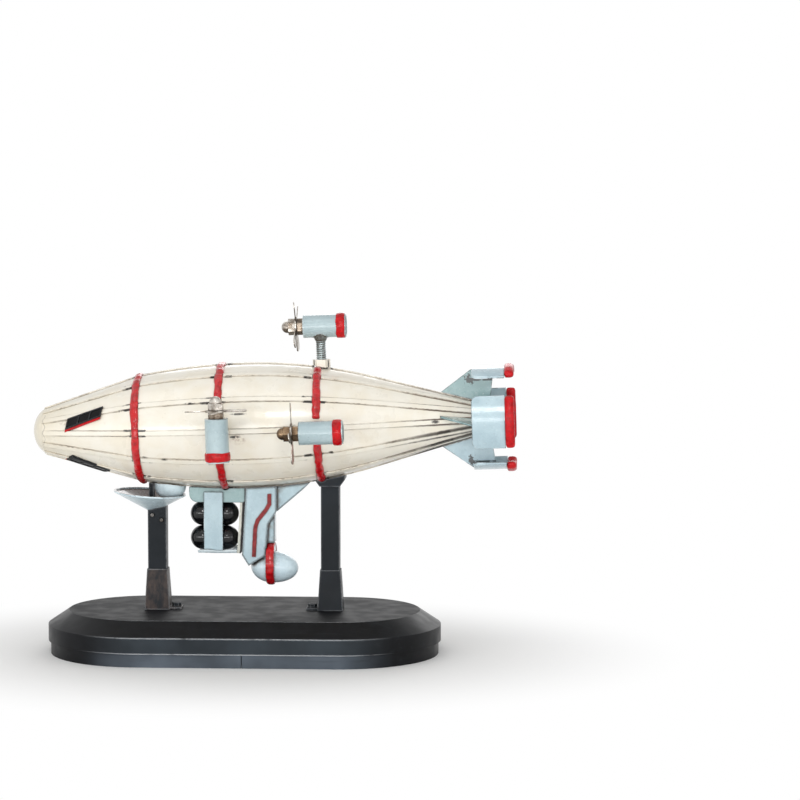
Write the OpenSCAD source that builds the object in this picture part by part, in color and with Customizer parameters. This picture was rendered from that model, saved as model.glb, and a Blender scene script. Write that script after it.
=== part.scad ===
// Desk model of a battened airship on a two-post stand, in sheet metal and turned fittings.
// Millimetres, +Z up, nose towards -X, port side towards -Y.
// The origin is the centre of the base's underside.
// Hull pieces are placed by their station, the distance aft of the nose tip along the hull axis.

/* [Hull] */
// Length of the hull, from the nose tip to the tail end
hull_len = 240; // [225:1:250]
// Radius of the hull skin at its widest
hull_r = 32.4; // [30:0.2:34]
// Station where the hull is widest
widest_at = 114; // [108:1:120]
// Radius of the hull skin under the front band
shoulder_r = 27.5; // [25:0.5:29]
// Radius of the hull skin at the tail end
tail_r = 7; // [5:0.5:9]
// Station where the straight tail cone starts
tail_cone_at = 181; // [172:1:190]
// Length of the nose cap
cap_len = 6; // [4:0.5:8]
// Radius of the nose cap at its seam
cap_r = 11.7; // [10:0.1:13]
// Length over which the nose would round off to a full dome
dome_len = 10; // [9:0.5:14]
// Thickness of the hull's sheet metal
skin = 1; // [0.6:0.1:1.6]
// Nose-down pitch of the hull on its stand, in degrees
hull_pitch = 2; // [0:0.5:4]
// Height of the hull axis above the table, over the middle of the base
axis_z = 120.5; // [115:0.5:130]
// Distance of the nose tip ahead of the middle of the base
nose_ahead = 111.3; // [108:0.5:115]

/* [Battens and bands] */
// Battens around the hull
batten_count = 12; // [8:4:16]
// Width of a batten
batten_w = 2.4; // [1.6:0.1:3]
// Height of a batten above the skin
batten_h = 0.7; // [0.4:0.1:1]
// Width of a red band
band_w = 4.2; // [3:0.2:6]
// Height of a red band above the skin
band_h = 1.6; // [1:0.1:2.2]
// Station of the front band
band_front_at = 57; // [52:1:62]
// Station of the middle band
band_middle_at = 101; // [96:1:106]
// Station of the rear band
band_rear_at = 152; // [147:1:157]

/* [Nose windows] */
// Length of a window frame
window_len = 20; // [17:0.5:24]
// Height of a window frame
window_w = 5.2; // [4:0.2:6.5]
// Height of a window frame above the skin
window_t = 1.5; // [1.2:0.1:2]
// Width of the frame's bars
window_bar = 0.7; // [0.5:0.1:1]
// Panes in a window
pane_count = 3; // [2:1:4]
// Station of the middle of a window
window_at = 29.5; // [27:0.5:32]
// Angle of the upper windows above the side of the hull
window_up = 24; // [20:1:32]
// Angle of the lower windows below the side of the hull
window_down = 61; // [54:1:64]
// Slant of a window against the hull's own taper
window_rake = 13; // [0:1:18]

/* [Nacelles] */
// Distance of a nacelle's axis from the hull axis
stand_off = 51; // [49:0.5:56]
// Outer radius of a nacelle
nacelle_r = 6; // [5:0.1:7]
// Length of a nacelle
nacelle_len = 22.6; // [20:0.2:26]
// Length of a nacelle ahead of its pylon
nacelle_front = 8.9; // [7:0.1:10]
// Wall of a nacelle
nacelle_wall = 1; // [0.8:0.1:1.5]
// Width of the red ring on a nacelle
ring_w = 4.6; // [3:0.2:6]
// Height of the red ring above the nacelle
ring_t = 0.6; // [0.4:0.1:1]
// Length of nacelle that shows behind its ring
ring_lip = 0.6; // [0.4:0.1:1.5]
// Distance of a pylon behind its band
pylon_aft = 1.6; // [0:0.1:2]
// Radius of a pylon's stud
stud_r = 2.65; // [2:0.05:3]
// Radius of the flare at the top of a pylon
flare_r = 4.6; // [3.5:0.1:5]
// Height of the flare
flare_h = 4.5; // [3:0.1:5.5]
// Width across the flats of a pylon's foot nut
collar_af = 8; // [7.5:0.1:9]
// Height of a pylon's foot nut
collar_h = 3.7; // [2.5:0.1:4.5]

/* [Propellers] */
// Radius of a propeller
prop_r = 16; // [13:0.5:16.5]
// Blades on a propeller
blade_count = 4; // [2:1:5]
// Width of a blade at its tip
blade_w = 5; // [3:0.2:6]
// Width of a blade at its root
blade_root_w = 3.4; // [2.4:0.2:4]
// Thickness of a blade
blade_t = 0.5; // [0.4:0.1:1]
// Twist of a blade out of the propeller's plane, in degrees
blade_pitch = 8; // [0:1:20]
// Margin of a propeller's hub disc outside its nuts
hub_lip = 0.9; // [0.6:0.1:1.4]
// Thickness of a propeller's hub
hub_t = 0.9; // [0.6:0.1:1.5]
// Radius of a propeller's stud
shaft_r = 2; // [1.5:0.1:2.2]
// Width across the flats of the propeller nuts
nut_af = 7.5; // [6.5:0.1:8]
// Thickness of the spacer nut behind a propeller
spacer_h = 3.2; // [2.2:0.1:4]
// Height of the hexagon of a cap nut
cap_hex_h = 3.4; // [2.5:0.1:4]
// Height of the plain neck between a cap nut's hexagon and its dome
cap_neck = 0.5; // [0.2:0.1:1]

/* [Tail] */
// Length of a fin's root on the tail cone
fin_root_len = 25; // [20:1:32]
// Length of a fin's root behind the tail end
fin_root_over = 1; // [0.5:0.1:2]
// Length of a fin's outer end behind the tail end
fin_over = 4; // [3:0.5:6]
// Setback of a fin's outer end behind the shroud's front edge
fin_step = 1; // [0.5:0.1:2]
// Thickness of a fin
fin_t = 1.2; // [0.8:0.1:1.8]
// Droop of the side fins below the hull's sides, in degrees
fin_droop = 5; // [0:1:8]
// Turn of the side fins, front ends up, in degrees
fin_turn = 9; // [0:1:12]
// Length of a shroud ahead of the tail end
shroud_ahead = 7.8; // [5:0.2:11]
// Length of a shroud along the hull
shroud_len = 17.2; // [13:0.2:20]
// Outer radius of the shrouds
shroud_r = 27; // [25:0.5:30]
// Thickness of a shroud
shroud_t = 1.2; // [0.8:0.1:1.8]
// Width of a shroud, straight across
shroud_w = 27.4; // [22:0.2:30]
// Radius of a shroud's front corners
shroud_corner = 3; // [1:0.5:5]
// Width of the red rim behind a shroud
rim_w = 5; // [4:0.2:8]
// Thickness of the red rim
rim_t = 3.8; // [2.5:0.1:4.5]

/* [Gondola] */
// Distance of the scoop's front tip ahead of the middle of the base
scoop_front = 69; // [64:1:74]
// Length of the scoop
scoop_len = 38; // [34:1:40]
// Width of the scoop
scoop_w = 38; // [30:1:40]
// Depth of the scoop below its tip
scoop_depth = 10.4; // [9:0.2:12]
// Drop of the scoop's tip below the lowest line of the hull
scoop_drop = 1.4; // [1:0.2:3]
// Tilt of the scoop's rim, down towards the back, in degrees
scoop_tilt = 4; // [2:1:6]
// Rise of the scoop's floor towards the back, in degrees
scoop_rise = 13; // [8:1:15]
// Wall of the scoop
scoop_wall = 1.2; // [0.8:0.1:1.6]
// Distance of the turret ahead of the middle of the base
turret_ahead = 39; // [38:0.2:41]
// Radius of the turret at the hull
turret_r = 8.4; // [7:0.2:9.4]
// Depth of the turret below the scoop's rim
turret_sink = 1.4; // [0.4:0.2:1.6]
// Radius of a ball in the rack
ball_r = 6.4; // [5.5:0.1:7]
// Distance of the rack's front end ahead of the middle of the base
rack_ahead = 28.4; // [27:0.1:29]
// Depth of the rack's pan below the lowest line of the hull
pan_h = 7.2; // [5:0.2:9]
// Radius of the pan's lower corners
pan_corner = 4.5; // [2:0.5:6]
// Width of the rack's straps
strap_w = 10; // [7:0.5:13]
// Thickness of the rack's sheet metal
rack_t = 1.2; // [0.8:0.1:2]
// Reach of the rack's tray past the straps
tray_lip = 1; // [0.5:0.1:2]
// Thickness of the rack's end plate
plate_t = 1.9; // [1.2:0.1:2.4]
// Width of the duct across the hull
duct_w = 16; // [12:0.5:20]
// Length of the duct along the hull, at its top
duct_len = 16.2; // [14:0.2:20]
// Height of the duct
duct_h = 38.8; // [34:0.2:42]
// Gap between the rack's end plate and the duct
duct_gap = 0.8; // [0.6:0.1:2]
// Lean of the end plate and of the duct's front, in degrees
duct_lean = 3.5; // [0:0.5:5]
// Width of the red line on the duct
trim_w = 2; // [1:0.1:3]
// Height of the red line on the duct
trim_t = 0.6; // [0.4:0.1:1.2]
// Length of the gusset behind the duct
gusset_len = 14; // [10:0.5:18]
// Depth of the gusset
gusset_h = 12; // [9:0.5:15]
// Width of the gusset across the hull
gusset_w = 9; // [5:0.5:12]
// Radius of the pod
pod_r = 8.5; // [7:0.1:9]
// Length of the pod's nose ahead of its ring
pod_nose = 10.8; // [9:0.2:12]
// Length of the pod's tail behind its ring
pod_tail = 14.4; // [11:0.2:16]
// Tilt of the pod, down towards the back, in degrees
pod_tilt = 5; // [0:1:8]
// Radius of the round plate inside the pod's ring
pod_plate_r = 10.6; // [9.8:0.1:11.4]
// Width of the red ring on the pod
pod_ring_w = 4.3; // [3:0.1:6]
// Height of the red ring above its round plate
pod_ring_h = 1.2; // [0.8:0.1:2]

/* [Stand] */
// Length of the base
base_len = 208; // [180:1:230]
// Width of the base
base_w = 106; // [90:1:120]
// Height of the base
base_h = 22.8; // [18:0.2:28]
// Width of the base's sloping edge
bevel_w = 11; // [6:0.5:14]
// Height of the base's sloping edge
bevel_h = 7.4; // [4:0.2:8]
// Height of the skirt that shows under the base's side
skirt_h = 7; // [5:0.2:8]
// Length of skirt tucked up inside the base
skirt_tuck = 3; // [2:0.5:4]
// Distance of the skirt's seam behind the middle of the base
seam_aft = 3.4; // [-20:0.2:20]
// Thickness of the base's sheet metal
base_t = 1.2; // [0.8:0.1:2]
// Distance of each post from the middle of the base
post_at = 45.8; // [44:0.2:47]
// Width of a post along the hull
post_w = 9.8; // [8:0.2:11]
// Depth of a post across the hull
post_d = 8; // [6:0.5:11]
// Thickness of the front post's tongue, which goes up through the scoop to the hull
tongue_t = 2.5; // [1.5:0.1:3]
// Width of the tongue across the hull
tongue_w = 6; // [4:0.5:7]
// Height of a post's foot
foot_h = 21.5; // [15:0.5:26]
// Thickness of a foot where it ends on the post
foot_lip = 0.5; // [0.3:0.1:1]
// Spread of a foot at the base, on each side of the post
foot_spread = 1.8; // [1:0.1:3]
// Length of the bolted tab on the inner side of a foot
tab_len = 6; // [6:0.5:9]
// Thickness of the tab
tab_t = 1.2; // [1:0.1:2.5]
// Width across the flats of a foot bolt
bolt_af = 4.2; // [3.6:0.1:4.8]
// Radius of a foot bolt's shank
bolt_r = 1.4; // [1:0.1:1.6]
// Height of a foot bolt's head, and of its nut
bolt_h = 2; // [1.5:0.1:3]
// Radius of the screw heads at the top of the front post
screw_r = 1.3; // [1:0.1:1.6]
// Height of the screw heads
screw_h = 0.9; // [0.6:0.1:1.2]
// Depth of the screws in the post
screw_depth = 2; // [1.5:0.1:2.5]
// Length of the saddle on the rear post, at the hull
saddle_len = 16; // [13:0.5:20]
// Width of the saddle
saddle_w = 14; // [10:0.5:18]
// Thickness of the saddle over the post
saddle_t = 3.6; // [3:0.1:6]

/* [Fits] */
// Radial clearance of a propeller on its stud
run_gap = 0.05; // [0.02:0.01:0.1]
// Clearance of a propeller's hub between its nuts, on each side
end_gap = 0.15; // [0.1:0.05:0.4]
// Clearance between fixed pieces that slide together
seat_gap = 0.05; // [0.02:0.01:0.1]
// Clearance between a band and what it stops short of
stop_gap = 0.2; // [0.1:0.05:0.4]

/* [Hidden] */
$fn = 64;

CREAM = "#efe9da";
RED = "#b01c1f";
GREY_BLUE = "#aec4ca";
BLACK = "#22262a";
NICKEL = "#b5ad9f";
BRONZE = "#8b7350";
GLASS = "#141619";

// Overlap given to a cutting shape so that it passes through
cut = 1;
hex_corner = 1 / cos(30);
pylon_front_at = band_middle_at + pylon_aft;
pylon_rear_at = band_rear_at + pylon_aft;
fin_root_at = hull_len - fin_root_len;
shroud_at = hull_len - shroud_ahead;
// Height to which a piece is drawn up into the hull before it is trimmed to it
bury = 0.2 * hull_r;
// Height over the skin of what rests on the battens, clear of their square corners
rest_h = batten_h + sq(batten_w) / (8 * tail_r) + seat_gap;
BANDS = [band_front_at, band_middle_at, band_rear_at];

// Name, pylon station, roll about the hull axis from the top, turn about the pylon, and turn of the blades
NACELLES = [
    ["port_front", pylon_front_at, 90, -90, 0],
    ["port_rear", pylon_rear_at, 90, 0, 4],
    ["starboard_front", pylon_front_at, -90, 90, 20],
    ["starboard_rear", pylon_rear_at, -90, 0, 60],
    ["top", pylon_rear_at, 0, 0, 35]
];

// Name, roll of the shroud about the hull axis from the top, roll of the fin, and turn of the fin
FINS = [
    ["top", 0, 0, 0],
    ["bottom", 180, 180, 0],
    ["port", 90, 90 + fin_droop, -fin_turn],
    ["starboard", -90, -90 - fin_droop, fin_turn]
];

// Hull outline: a dome, a straight nose cone, two parabolas that meet at the widest station,
// and a tail cone that carries on in line with the second parabola
tail_drop = (hull_r - tail_r) / (2 * (hull_len - tail_cone_at) / (tail_cone_at - widest_at) + 1);

function sq(v) = v * v;
function mix(a, b, t) = a + (b - a) * t;
function rev(list) = [for (i = [len(list) - 1:-1:0]) list[i]];
function dome(u) = sqrt(1 - sq(1 - u / dome_len));
function skin_r(u) =
    u <= cap_len ? cap_r * dome(u) / dome(cap_len)
    : u <= band_front_at ? mix(cap_r, shoulder_r, (u - cap_len) / (band_front_at - cap_len))
    : u <= widest_at ? hull_r - (hull_r - shoulder_r) * sq((widest_at - u) / (widest_at - band_front_at))
    : u <= tail_cone_at ? hull_r - tail_drop * sq((u - widest_at) / (tail_cone_at - widest_at))
    : mix(hull_r - tail_drop, tail_r, (u - tail_cone_at) / (hull_len - tail_cone_at));

// Stations of the outline, with straight lines between them
dome_steps = 6;
body_steps = 8;
aft_steps = 5;
function steps(a, b, n) = [for (i = [0:n - 1]) mix(a, b, i / n)];
STATIONS = concat(
    [for (i = [0:dome_steps - 1]) cap_len * (1 - cos(90 * i / dome_steps))],
    [cap_len],
    steps(band_front_at, band_middle_at, body_steps),
    steps(band_middle_at, band_rear_at, body_steps),
    steps(band_rear_at, tail_cone_at, aft_steps),
    [tail_cone_at, hull_len]
);
OUTLINE = [for (u = STATIONS) [u, skin_r(u)]];
tiny = 0.001;
function hull_at(u) = lookup(u, OUTLINE);
function span(a, b) = concat([a], [for (u = STATIONS) if (u > a + tiny && u < b - tiny) u], [b]);

// Height of the lowest line of the hull over a point of the base, on its battens
function belly_z(x) =
    axis_z + x * tan(hull_pitch)
    - (hull_at(x + nose_ahead - hull_r * sin(hull_pitch)) + batten_h) / cos(hull_pitch);
keel_z = axis_z - hull_r - batten_h;

// Placing

module hull_frame() {
    translate([0, 0, axis_z]) rotate([0, -hull_pitch, 0]) translate([-nose_ahead, 0, 0]) children();
}

// A shape drawn as radius and station, turned about the hull axis
module along_hull() {
    rotate([0, 90, 0]) rotate_extrude() children();
}

// A point on the hull axis at a pylon, with +Z out along the pylon
module pylon_frame(n) {
    hull_frame() translate([n[1], 0, 0]) rotate([n[2], 0, 0]) children();
}

// The middle of a nacelle's axis at its pylon, with the propeller towards -X and the hull towards -Z
module nacelle_frame(n) {
    pylon_frame(n) translate([0, 0, stand_off]) rotate([0, 0, n[3]]) children();
}

// A turned piece along a nacelle's axis, from the station a to the station b
module turned(a, b, r, sides = 64) {
    translate([a, 0, 0]) rotate([0, 90, 0]) cylinder(r = r, h = b - a, $fn = sides);
}

// A flat outline in X and Z, given a width across the hull
module across(w) {
    translate([0, w / 2, 0]) rotate([90, 0, 0]) linear_extrude(w) children();
}

// The solid hull between two stations, grown outwards
module hull_core(a, b, grow = 0) {
    along_hull()
        polygon(concat([[0, a]], [for (u = span(a, b)) [hull_at(u) + grow, u]], [[0, b]]));
}

// Trims what is drawn to the underside of the hull and its bands, between two distances from the base's middle
module under_belly(x0, x1) {
    a = nose_ahead + x0 - bury;
    b = nose_ahead + x1 + bury;
    difference() {
        children();
        hull_frame() {
            hull_core(a, b, rest_h);
            for (at = BANDS) if (at > a && at < b) bead(at, stop_gap);
        }
    }
}

// A half-round bead of a given width and height has this radius
function bead_r(w, h) = (sq(w / 2) + sq(h)) / (2 * h);

// The full round of a band's bead
module bead(at, grow = 0) {
    r = bead_r(band_w, band_h);
    along_hull() translate([hull_at(at) + band_h - r, at]) circle(r = r + grow);
}

// Hull

module hull_shell(a, b) {
    color(CREAM) hull_frame() along_hull()
        polygon(concat(
            [for (u = span(a, b)) [hull_at(u), u]],
            [for (u = rev(span(a, b))) [hull_at(u) - skin, u]]
        ));
}

module nose_cap() {
    color(CREAM) hull_frame() along_hull()
        polygon(concat([for (u = span(0, cap_len)) [hull_at(u), u]], [[0, cap_len]]));
}

module hull_nose() {
    hull_shell(cap_len, band_front_at);
}

module hull_front() {
    hull_shell(band_front_at, band_middle_at);
}

module hull_rear() {
    hull_shell(band_middle_at, band_rear_at);
}

module hull_tail() {
    hull_shell(band_rear_at, hull_len);
}

// A low domed plug that closes the tail cone
module tail_plug() {
    plug_h = 0.4 * tail_r;
    ball = (sq(tail_r) + sq(plug_h)) / (2 * plug_h);
    color(CREAM) hull_frame() intersection() {
        translate([hull_len + plug_h - ball, 0, 0]) sphere(r = ball);
        turned(hull_len, hull_len + plug_h + cut, tail_r);
    }
}

module batten(a, b) {
    stations = span(a, b);
    across(batten_w)
        polygon(concat(
            [for (u = stations) [u, hull_at(u)]],
            [for (u = rev(stations)) [u, hull_at(u) + batten_h]]
        ));
}

module batten_set(a, b) {
    color(CREAM) hull_frame()
        for (i = [0:batten_count - 1]) rotate([360 * i / batten_count, 0, 0]) batten(a, b);
}

batten_stop = band_w / 2 + stop_gap;

module battens_nose() {
    batten_set(cap_len + stop_gap, band_front_at - batten_stop);
}

module battens_front() {
    batten_set(band_front_at + batten_stop, band_middle_at - batten_stop);
}

module battens_rear() {
    batten_set(band_middle_at + batten_stop, band_rear_at - batten_stop);
}

module battens_tail() {
    batten_set(band_rear_at + batten_stop, hull_len);
}

// A red bead round the seam between two sections, broken where a pylon stands
module band(at) {
    color(RED) difference() {
        hull_frame() bead(at);
        hull_frame() hull_core(at - band_w, at + band_w);
        for (n = NACELLES)
            if (abs(n[1] - at) < band_w)
                pylon_frame(n) cylinder(r = collar_af / 2 * hex_corner + stop_gap, h = stand_off);
    }
}

module band_front() {
    band(band_front_at);
}

module band_middle() {
    band(band_middle_at);
}

module band_rear() {
    band(band_rear_at);
}

// Nose windows: an upper and a lower one on each side, bent to the nose cone

pane_w = window_w - 2 * window_bar;
pane_len = (window_len - (pane_count + 1) * window_bar) / pane_count;
pane_sink = 0.4;
sill_w = 1;
sill_t = window_t - 0.4;

// Draws a window's outline, x aft and y up along the skin, on each of the four windows
module on_windows(t) {
    for (side = [-1, 1], level = [1, -1])
        hull_frame() difference() {
            intersection() {
                rotate([side * (90 - (level > 0 ? window_up : -window_down)), 0, 0])
                    translate([window_at, 0, 0])
                        rotate([0, 0, side * level * window_rake])
                            linear_extrude(hull_r) scale([1, side]) children();
                hull_core(cap_len, band_front_at - band_w, t);
            }
            hull_core(cap_len, band_front_at - band_w);
            for (i = [0:batten_count - 1])
                rotate([360 * i / batten_count, 0, 0]) batten(cap_len + stop_gap, band_front_at - batten_stop);
        }
}

// A raked outline: the front end is cut back and the rear end leans with it
module raked(x0, x1, y0, y1) {
    lean = 0.5;
    polygon([[x0 + lean * y0, y0], [x1 + lean * y0, y0], [x1 + lean * y1, y1], [x0 + lean * y1, y1]]);
}

module panes(grow) {
    for (i = [0:pane_count - 1]) {
        x0 = -window_len / 2 + window_bar + i * (pane_len + window_bar);
        raked(x0 - grow, x0 + pane_len + grow, -pane_w / 2 - grow, pane_w / 2 + grow);
    }
}

module window_frames() {
    color(BLACK) on_windows(window_t) difference() {
        raked(-window_len / 2, window_len / 2, -window_w / 2, window_w / 2);
        panes(0);
    }
}

module window_panes() {
    color(GLASS) on_windows(window_t - pane_sink) panes(-seat_gap);
}

module window_sills() {
    color(RED) on_windows(sill_t)
        raked(-window_len / 2, window_len / 2, -window_w / 2 - seat_gap - sill_w, -window_w / 2 - seat_gap);
}

// Tail

// A flat fin, trimmed to the hull and to the inner face of its shroud
module fin(roll, turn) {
    seat = shroud_r - shroud_t;
    fin_front = shroud_at + fin_step;
    fin_back = hull_len + fin_over;
    color(GREY_BLUE) hull_frame() difference() {
        rotate([roll, 0, 0]) translate([hull_len, 0, 0]) rotate([0, 0, turn]) across(fin_t)
            polygon([
                [-fin_root_len, hull_at(fin_root_at)],
                [0, tail_r],
                [fin_root_over, tail_r],
                [fin_over, shroud_r],
                [fin_front - hull_len, shroud_r]
            ]);
        hull_core(fin_root_at - cut, fin_back + cut, rest_h);
        difference() {
            turned(fin_root_at - cut, fin_back + cut, shroud_r + cut);
            turned(fin_root_at - 2 * cut, fin_back + 2 * cut, seat);
        }
    }
}

module tail_shrouds() {
    color(GREY_BLUE) hull_frame()
        for (f = FINS) rotate([f[1], 0, 0]) intersection() {
            difference() {
                turned(shroud_at, shroud_at + shroud_len, shroud_r);
                turned(shroud_at - cut, shroud_at + shroud_len + cut, shroud_r - shroud_t);
            }
            linear_extrude(shroud_r + cut) union() {
                translate([shroud_at + shroud_corner, -shroud_w / 2])
                    square([shroud_len - shroud_corner, shroud_w]);
                translate([shroud_at, -shroud_w / 2 + shroud_corner])
                    square([shroud_len, shroud_w - 2 * shroud_corner]);
                for (s = [-1, 1])
                    translate([shroud_at + shroud_corner, s * (shroud_w / 2 - shroud_corner)])
                        circle(r = shroud_corner);
            }
        }
}

// A thick rim with a flat front against the shroud and a round back
module tail_rims() {
    half_angle = asin(shroud_w / 2 / shroud_r);
    rim_at = shroud_at + shroud_len;
    color(RED) hull_frame()
        for (f = FINS) rotate([f[1], 0, 0]) rotate([0, 90, 0]) rotate([0, 0, 180 - half_angle])
            rotate_extrude(angle = 2 * half_angle)
                translate([shroud_r - shroud_t / 2, rim_at]) {
                    translate([-rim_t / 2, 0]) square([rim_t, rim_w - rim_t / 2]);
                    translate([0, rim_w - rim_t / 2]) circle(r = rim_t / 2);
                }
}

// Nacelles and propellers

nacelle_back = nacelle_len - nacelle_front;
seat_r = function (n) hull_at(n[1]) + batten_h;
prop_at = -nacelle_front - spacer_h - end_gap;
cap_at = prop_at - hub_t - end_gap;
blade_from = nut_af / 2 * hex_corner + stop_gap;
hub_r = blade_from + hub_lip;
stud_head_t = 1.2;

module nacelle(n) {
    color(GREY_BLUE) nacelle_frame(n) difference() {
        turned(-nacelle_front, nacelle_back, nacelle_r);
        turned(-nacelle_front + 2 * nacelle_wall, nacelle_back - 2 * nacelle_wall, nacelle_r - nacelle_wall);
        turned(-nacelle_front - cut, 0, shaft_r + seat_gap);
        turned(nacelle_back - nacelle_wall, nacelle_back + cut, nacelle_r - nacelle_wall);
    }
}

module nacelle_rings() {
    ring_at = nacelle_back - ring_lip - ring_w;
    ring_edge = ring_t / 2;
    color(RED)
        for (n = NACELLES) nacelle_frame(n) translate([ring_at, 0, 0]) rotate([0, 90, 0])
            rotate_extrude() translate([nacelle_r + seat_gap, 0]) {
                square([ring_t - ring_edge, ring_w]);
                translate([0, ring_edge]) square([ring_t, ring_w - 2 * ring_edge]);
                for (z = [ring_edge, ring_w - ring_edge])
                    translate([ring_t - ring_edge, z]) circle(r = ring_edge);
            }
}

module pylon(n) {
    sunk = seat_r(n) - stud_r;
    difference() {
        pylon_frame(n) {
            translate([0, 0, sunk]) cylinder(r = stud_r, h = stand_off - sunk);
            translate([0, 0, stand_off - nacelle_r - flare_h / 2])
                cylinder(r1 = stud_r, r2 = flare_r, h = flare_h);
        }
        hull_frame() hull_core(n[1] - collar_af, n[1] + collar_af, rest_h);
        nacelle_frame(n) turned(-nacelle_front - cut, nacelle_back + cut, nacelle_r);
    }
}

module pylons() {
    color(GREY_BLUE) for (n = NACELLES) pylon(n);
}

module pylon_collars() {
    color(CREAM) for (n = NACELLES) difference() {
        pylon_frame(n) translate([0, 0, seat_r(n) - stud_r])
            cylinder(r = collar_af / 2 * hex_corner, h = collar_h + stud_r, $fn = 6);
        pylon_frame(n) cylinder(r = stud_r + seat_gap, h = stand_off);
        hull_frame() hull_core(n[1] - collar_af, n[1] + collar_af, rest_h);
    }
}

// A stud with a flat head inside the nacelle, which carries the spacer nut, propeller and cap nut
module prop_studs() {
    head_at = -nacelle_front + 2 * nacelle_wall;
    color(NICKEL) for (n = NACELLES) nacelle_frame(n) {
        turned(head_at, head_at + stud_head_t, shaft_r * 1.6);
        turned(cap_at - cap_hex_h, head_at + stud_head_t / 2, shaft_r);
    }
}

module spacer_nuts() {
    color(NICKEL) for (n = NACELLES) nacelle_frame(n) difference() {
        turned(-nacelle_front - spacer_h, -nacelle_front, nut_af / 2 * hex_corner, 6);
        turned(-nacelle_front - spacer_h - cut, -nacelle_front + cut, shaft_r + seat_gap);
    }
}

module cap_nuts() {
    dome_r = 0.42 * nut_af;
    neck_at = cap_at - cap_hex_h - cap_neck;
    color(BRONZE) for (n = NACELLES) nacelle_frame(n) difference() {
        union() {
            turned(cap_at - cap_hex_h, cap_at, nut_af / 2 * hex_corner, 6);
            turned(neck_at, cap_at - cap_hex_h / 2, dome_r);
            intersection() {
                translate([neck_at, 0, 0]) sphere(r = dome_r);
                turned(neck_at - dome_r - cut, neck_at, dome_r + cut);
            }
        }
        turned(cap_at - cap_hex_h - seat_gap, cap_at + cut, shaft_r + seat_gap);
    }
}

// A flat blade with a round tip, twisted about its own length
module blade() {
    tip_r = blade_w / 2;
    rotate([90 + blade_pitch, 0, 90]) translate([0, 0, -blade_t / 2]) linear_extrude(blade_t) {
        polygon([
            [blade_from, -blade_root_w / 2], [prop_r - tip_r, -tip_r],
            [prop_r - tip_r, tip_r], [blade_from, blade_root_w / 2]
        ]);
        translate([prop_r - tip_r, 0]) circle(r = tip_r);
    }
}

module propeller(n) {
    color(NICKEL) nacelle_frame(n) difference() {
        union() {
            turned(prop_at - hub_t, prop_at, hub_r);
            translate([prop_at - hub_t / 2, 0, 0])
                for (i = [0:blade_count - 1]) rotate([360 * i / blade_count + n[4], 0, 0]) blade();
        }
        turned(prop_at - hub_t - 2 * cut, prop_at + 2 * cut, shaft_r + run_gap);
    }
}

// Gondola

scoop_tip_z = keel_z - scoop_drop;
scoop_floor_z = scoop_tip_z - scoop_depth;
pad_front = -post_at - post_w / 2;
pad_len = post_w / cos(scoop_rise);

// An oval outline of a given length and width, in the plan
module oval(l, w) {
    oval_steps = 40;
    turn = 360 / oval_steps;
    polygon([for (i = [0:oval_steps - 1]) [l / 2 * cos(i * turn), w / 2 * sin(i * turn)]]);
}

// The front of the scoop's floor, on the post, with +X up along the floor towards the back
module floor_frame() {
    translate([pad_front, 0, scoop_floor_z]) rotate([0, -scoop_rise, 0]) children();
}

// The front post's tongue, or with a gap the slot that it passes through
module tongue(gap) {
    translate([pad_front + scoop_wall / 2 - gap, -tongue_w / 2 - gap, scoop_floor_z - cut])
        cube([tongue_t + 2 * gap, tongue_w + 2 * gap, scoop_depth + scoop_drop + bury]);
}

// The scoop's outer shape, or with an inset its hollow
module scoop_body(inset) {
    lip_t = 0.8;
    hull() {
        translate([-scoop_front, 0, scoop_tip_z]) rotate([0, scoop_tilt, 0])
            translate([scoop_len / 2, 0, -lip_t]) linear_extrude(inset > 0 ? lip_t + cut : lip_t)
                oval(scoop_len - 2 * inset, scoop_w - 2 * inset);
        floor_frame() translate([inset, -post_d / 2 + inset, inset])
            cube([pad_len - 2 * inset, post_d - 2 * inset, lip_t]);
    }
}

module scoop_tray() {
    color(GREY_BLUE) difference() {
        scoop_body(0);
        scoop_body(scoop_wall);
        tongue(seat_gap);
    }
}

// A bowl under the hull that dips into the scoop, clear of the scoop's wall and of the tongue
module turret_bowl() {
    bowl_steps = 8;
    bottom_r = 0.55 * turret_r;
    bowl_z = belly_z(-turret_ahead);
    rim_z = scoop_tip_z - (scoop_front - turret_ahead) * sin(scoop_tilt);
    bowl_h = bowl_z - rim_z + turret_sink;
    color(GREY_BLUE) difference() {
        under_belly(-turret_ahead - turret_r, -turret_ahead + turret_r)
            translate([-turret_ahead, 0, 0]) rotate_extrude()
                polygon(concat(
                    [[0, bowl_z - bowl_h]],
                    [for (i = [0:bowl_steps]) [
                        mix(bottom_r, turret_r, sin(90 * i / bowl_steps)),
                        bowl_z - bowl_h * cos(90 * i / bowl_steps)
                    ]],
                    [[turret_r, bowl_z + bury], [0, bowl_z + bury]]
                ));
        tongue(stop_gap);
        difference() {
            scoop_body(-stop_gap);
            scoop_body(scoop_wall + stop_gap);
        }
    }
}

// Rack: a pan under the hull, two columns of balls, straps on both sides, a tray and an end plate

ball_pitch = 2 * ball_r + seat_gap;
pan_z = keel_z - pan_h;
ball_top_z = pan_z - seat_gap - ball_r;
tray_z = ball_top_z - ball_pitch - ball_r - seat_gap;
rack_w = 2 * ball_r;
rack_len = 2 * ball_pitch;
// Front of the end plate at the tray, where the leaning plate rests against the lower balls
plate_x = -rack_ahead + ball_r + ball_pitch + (ball_r + seat_gap) * (1 - sin(duct_lean)) / cos(duct_lean);
// Distance aft of a leaning face at a height, against the same face at the tray
function lean_at(z) = (z - tray_z) * tan(duct_lean);

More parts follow.
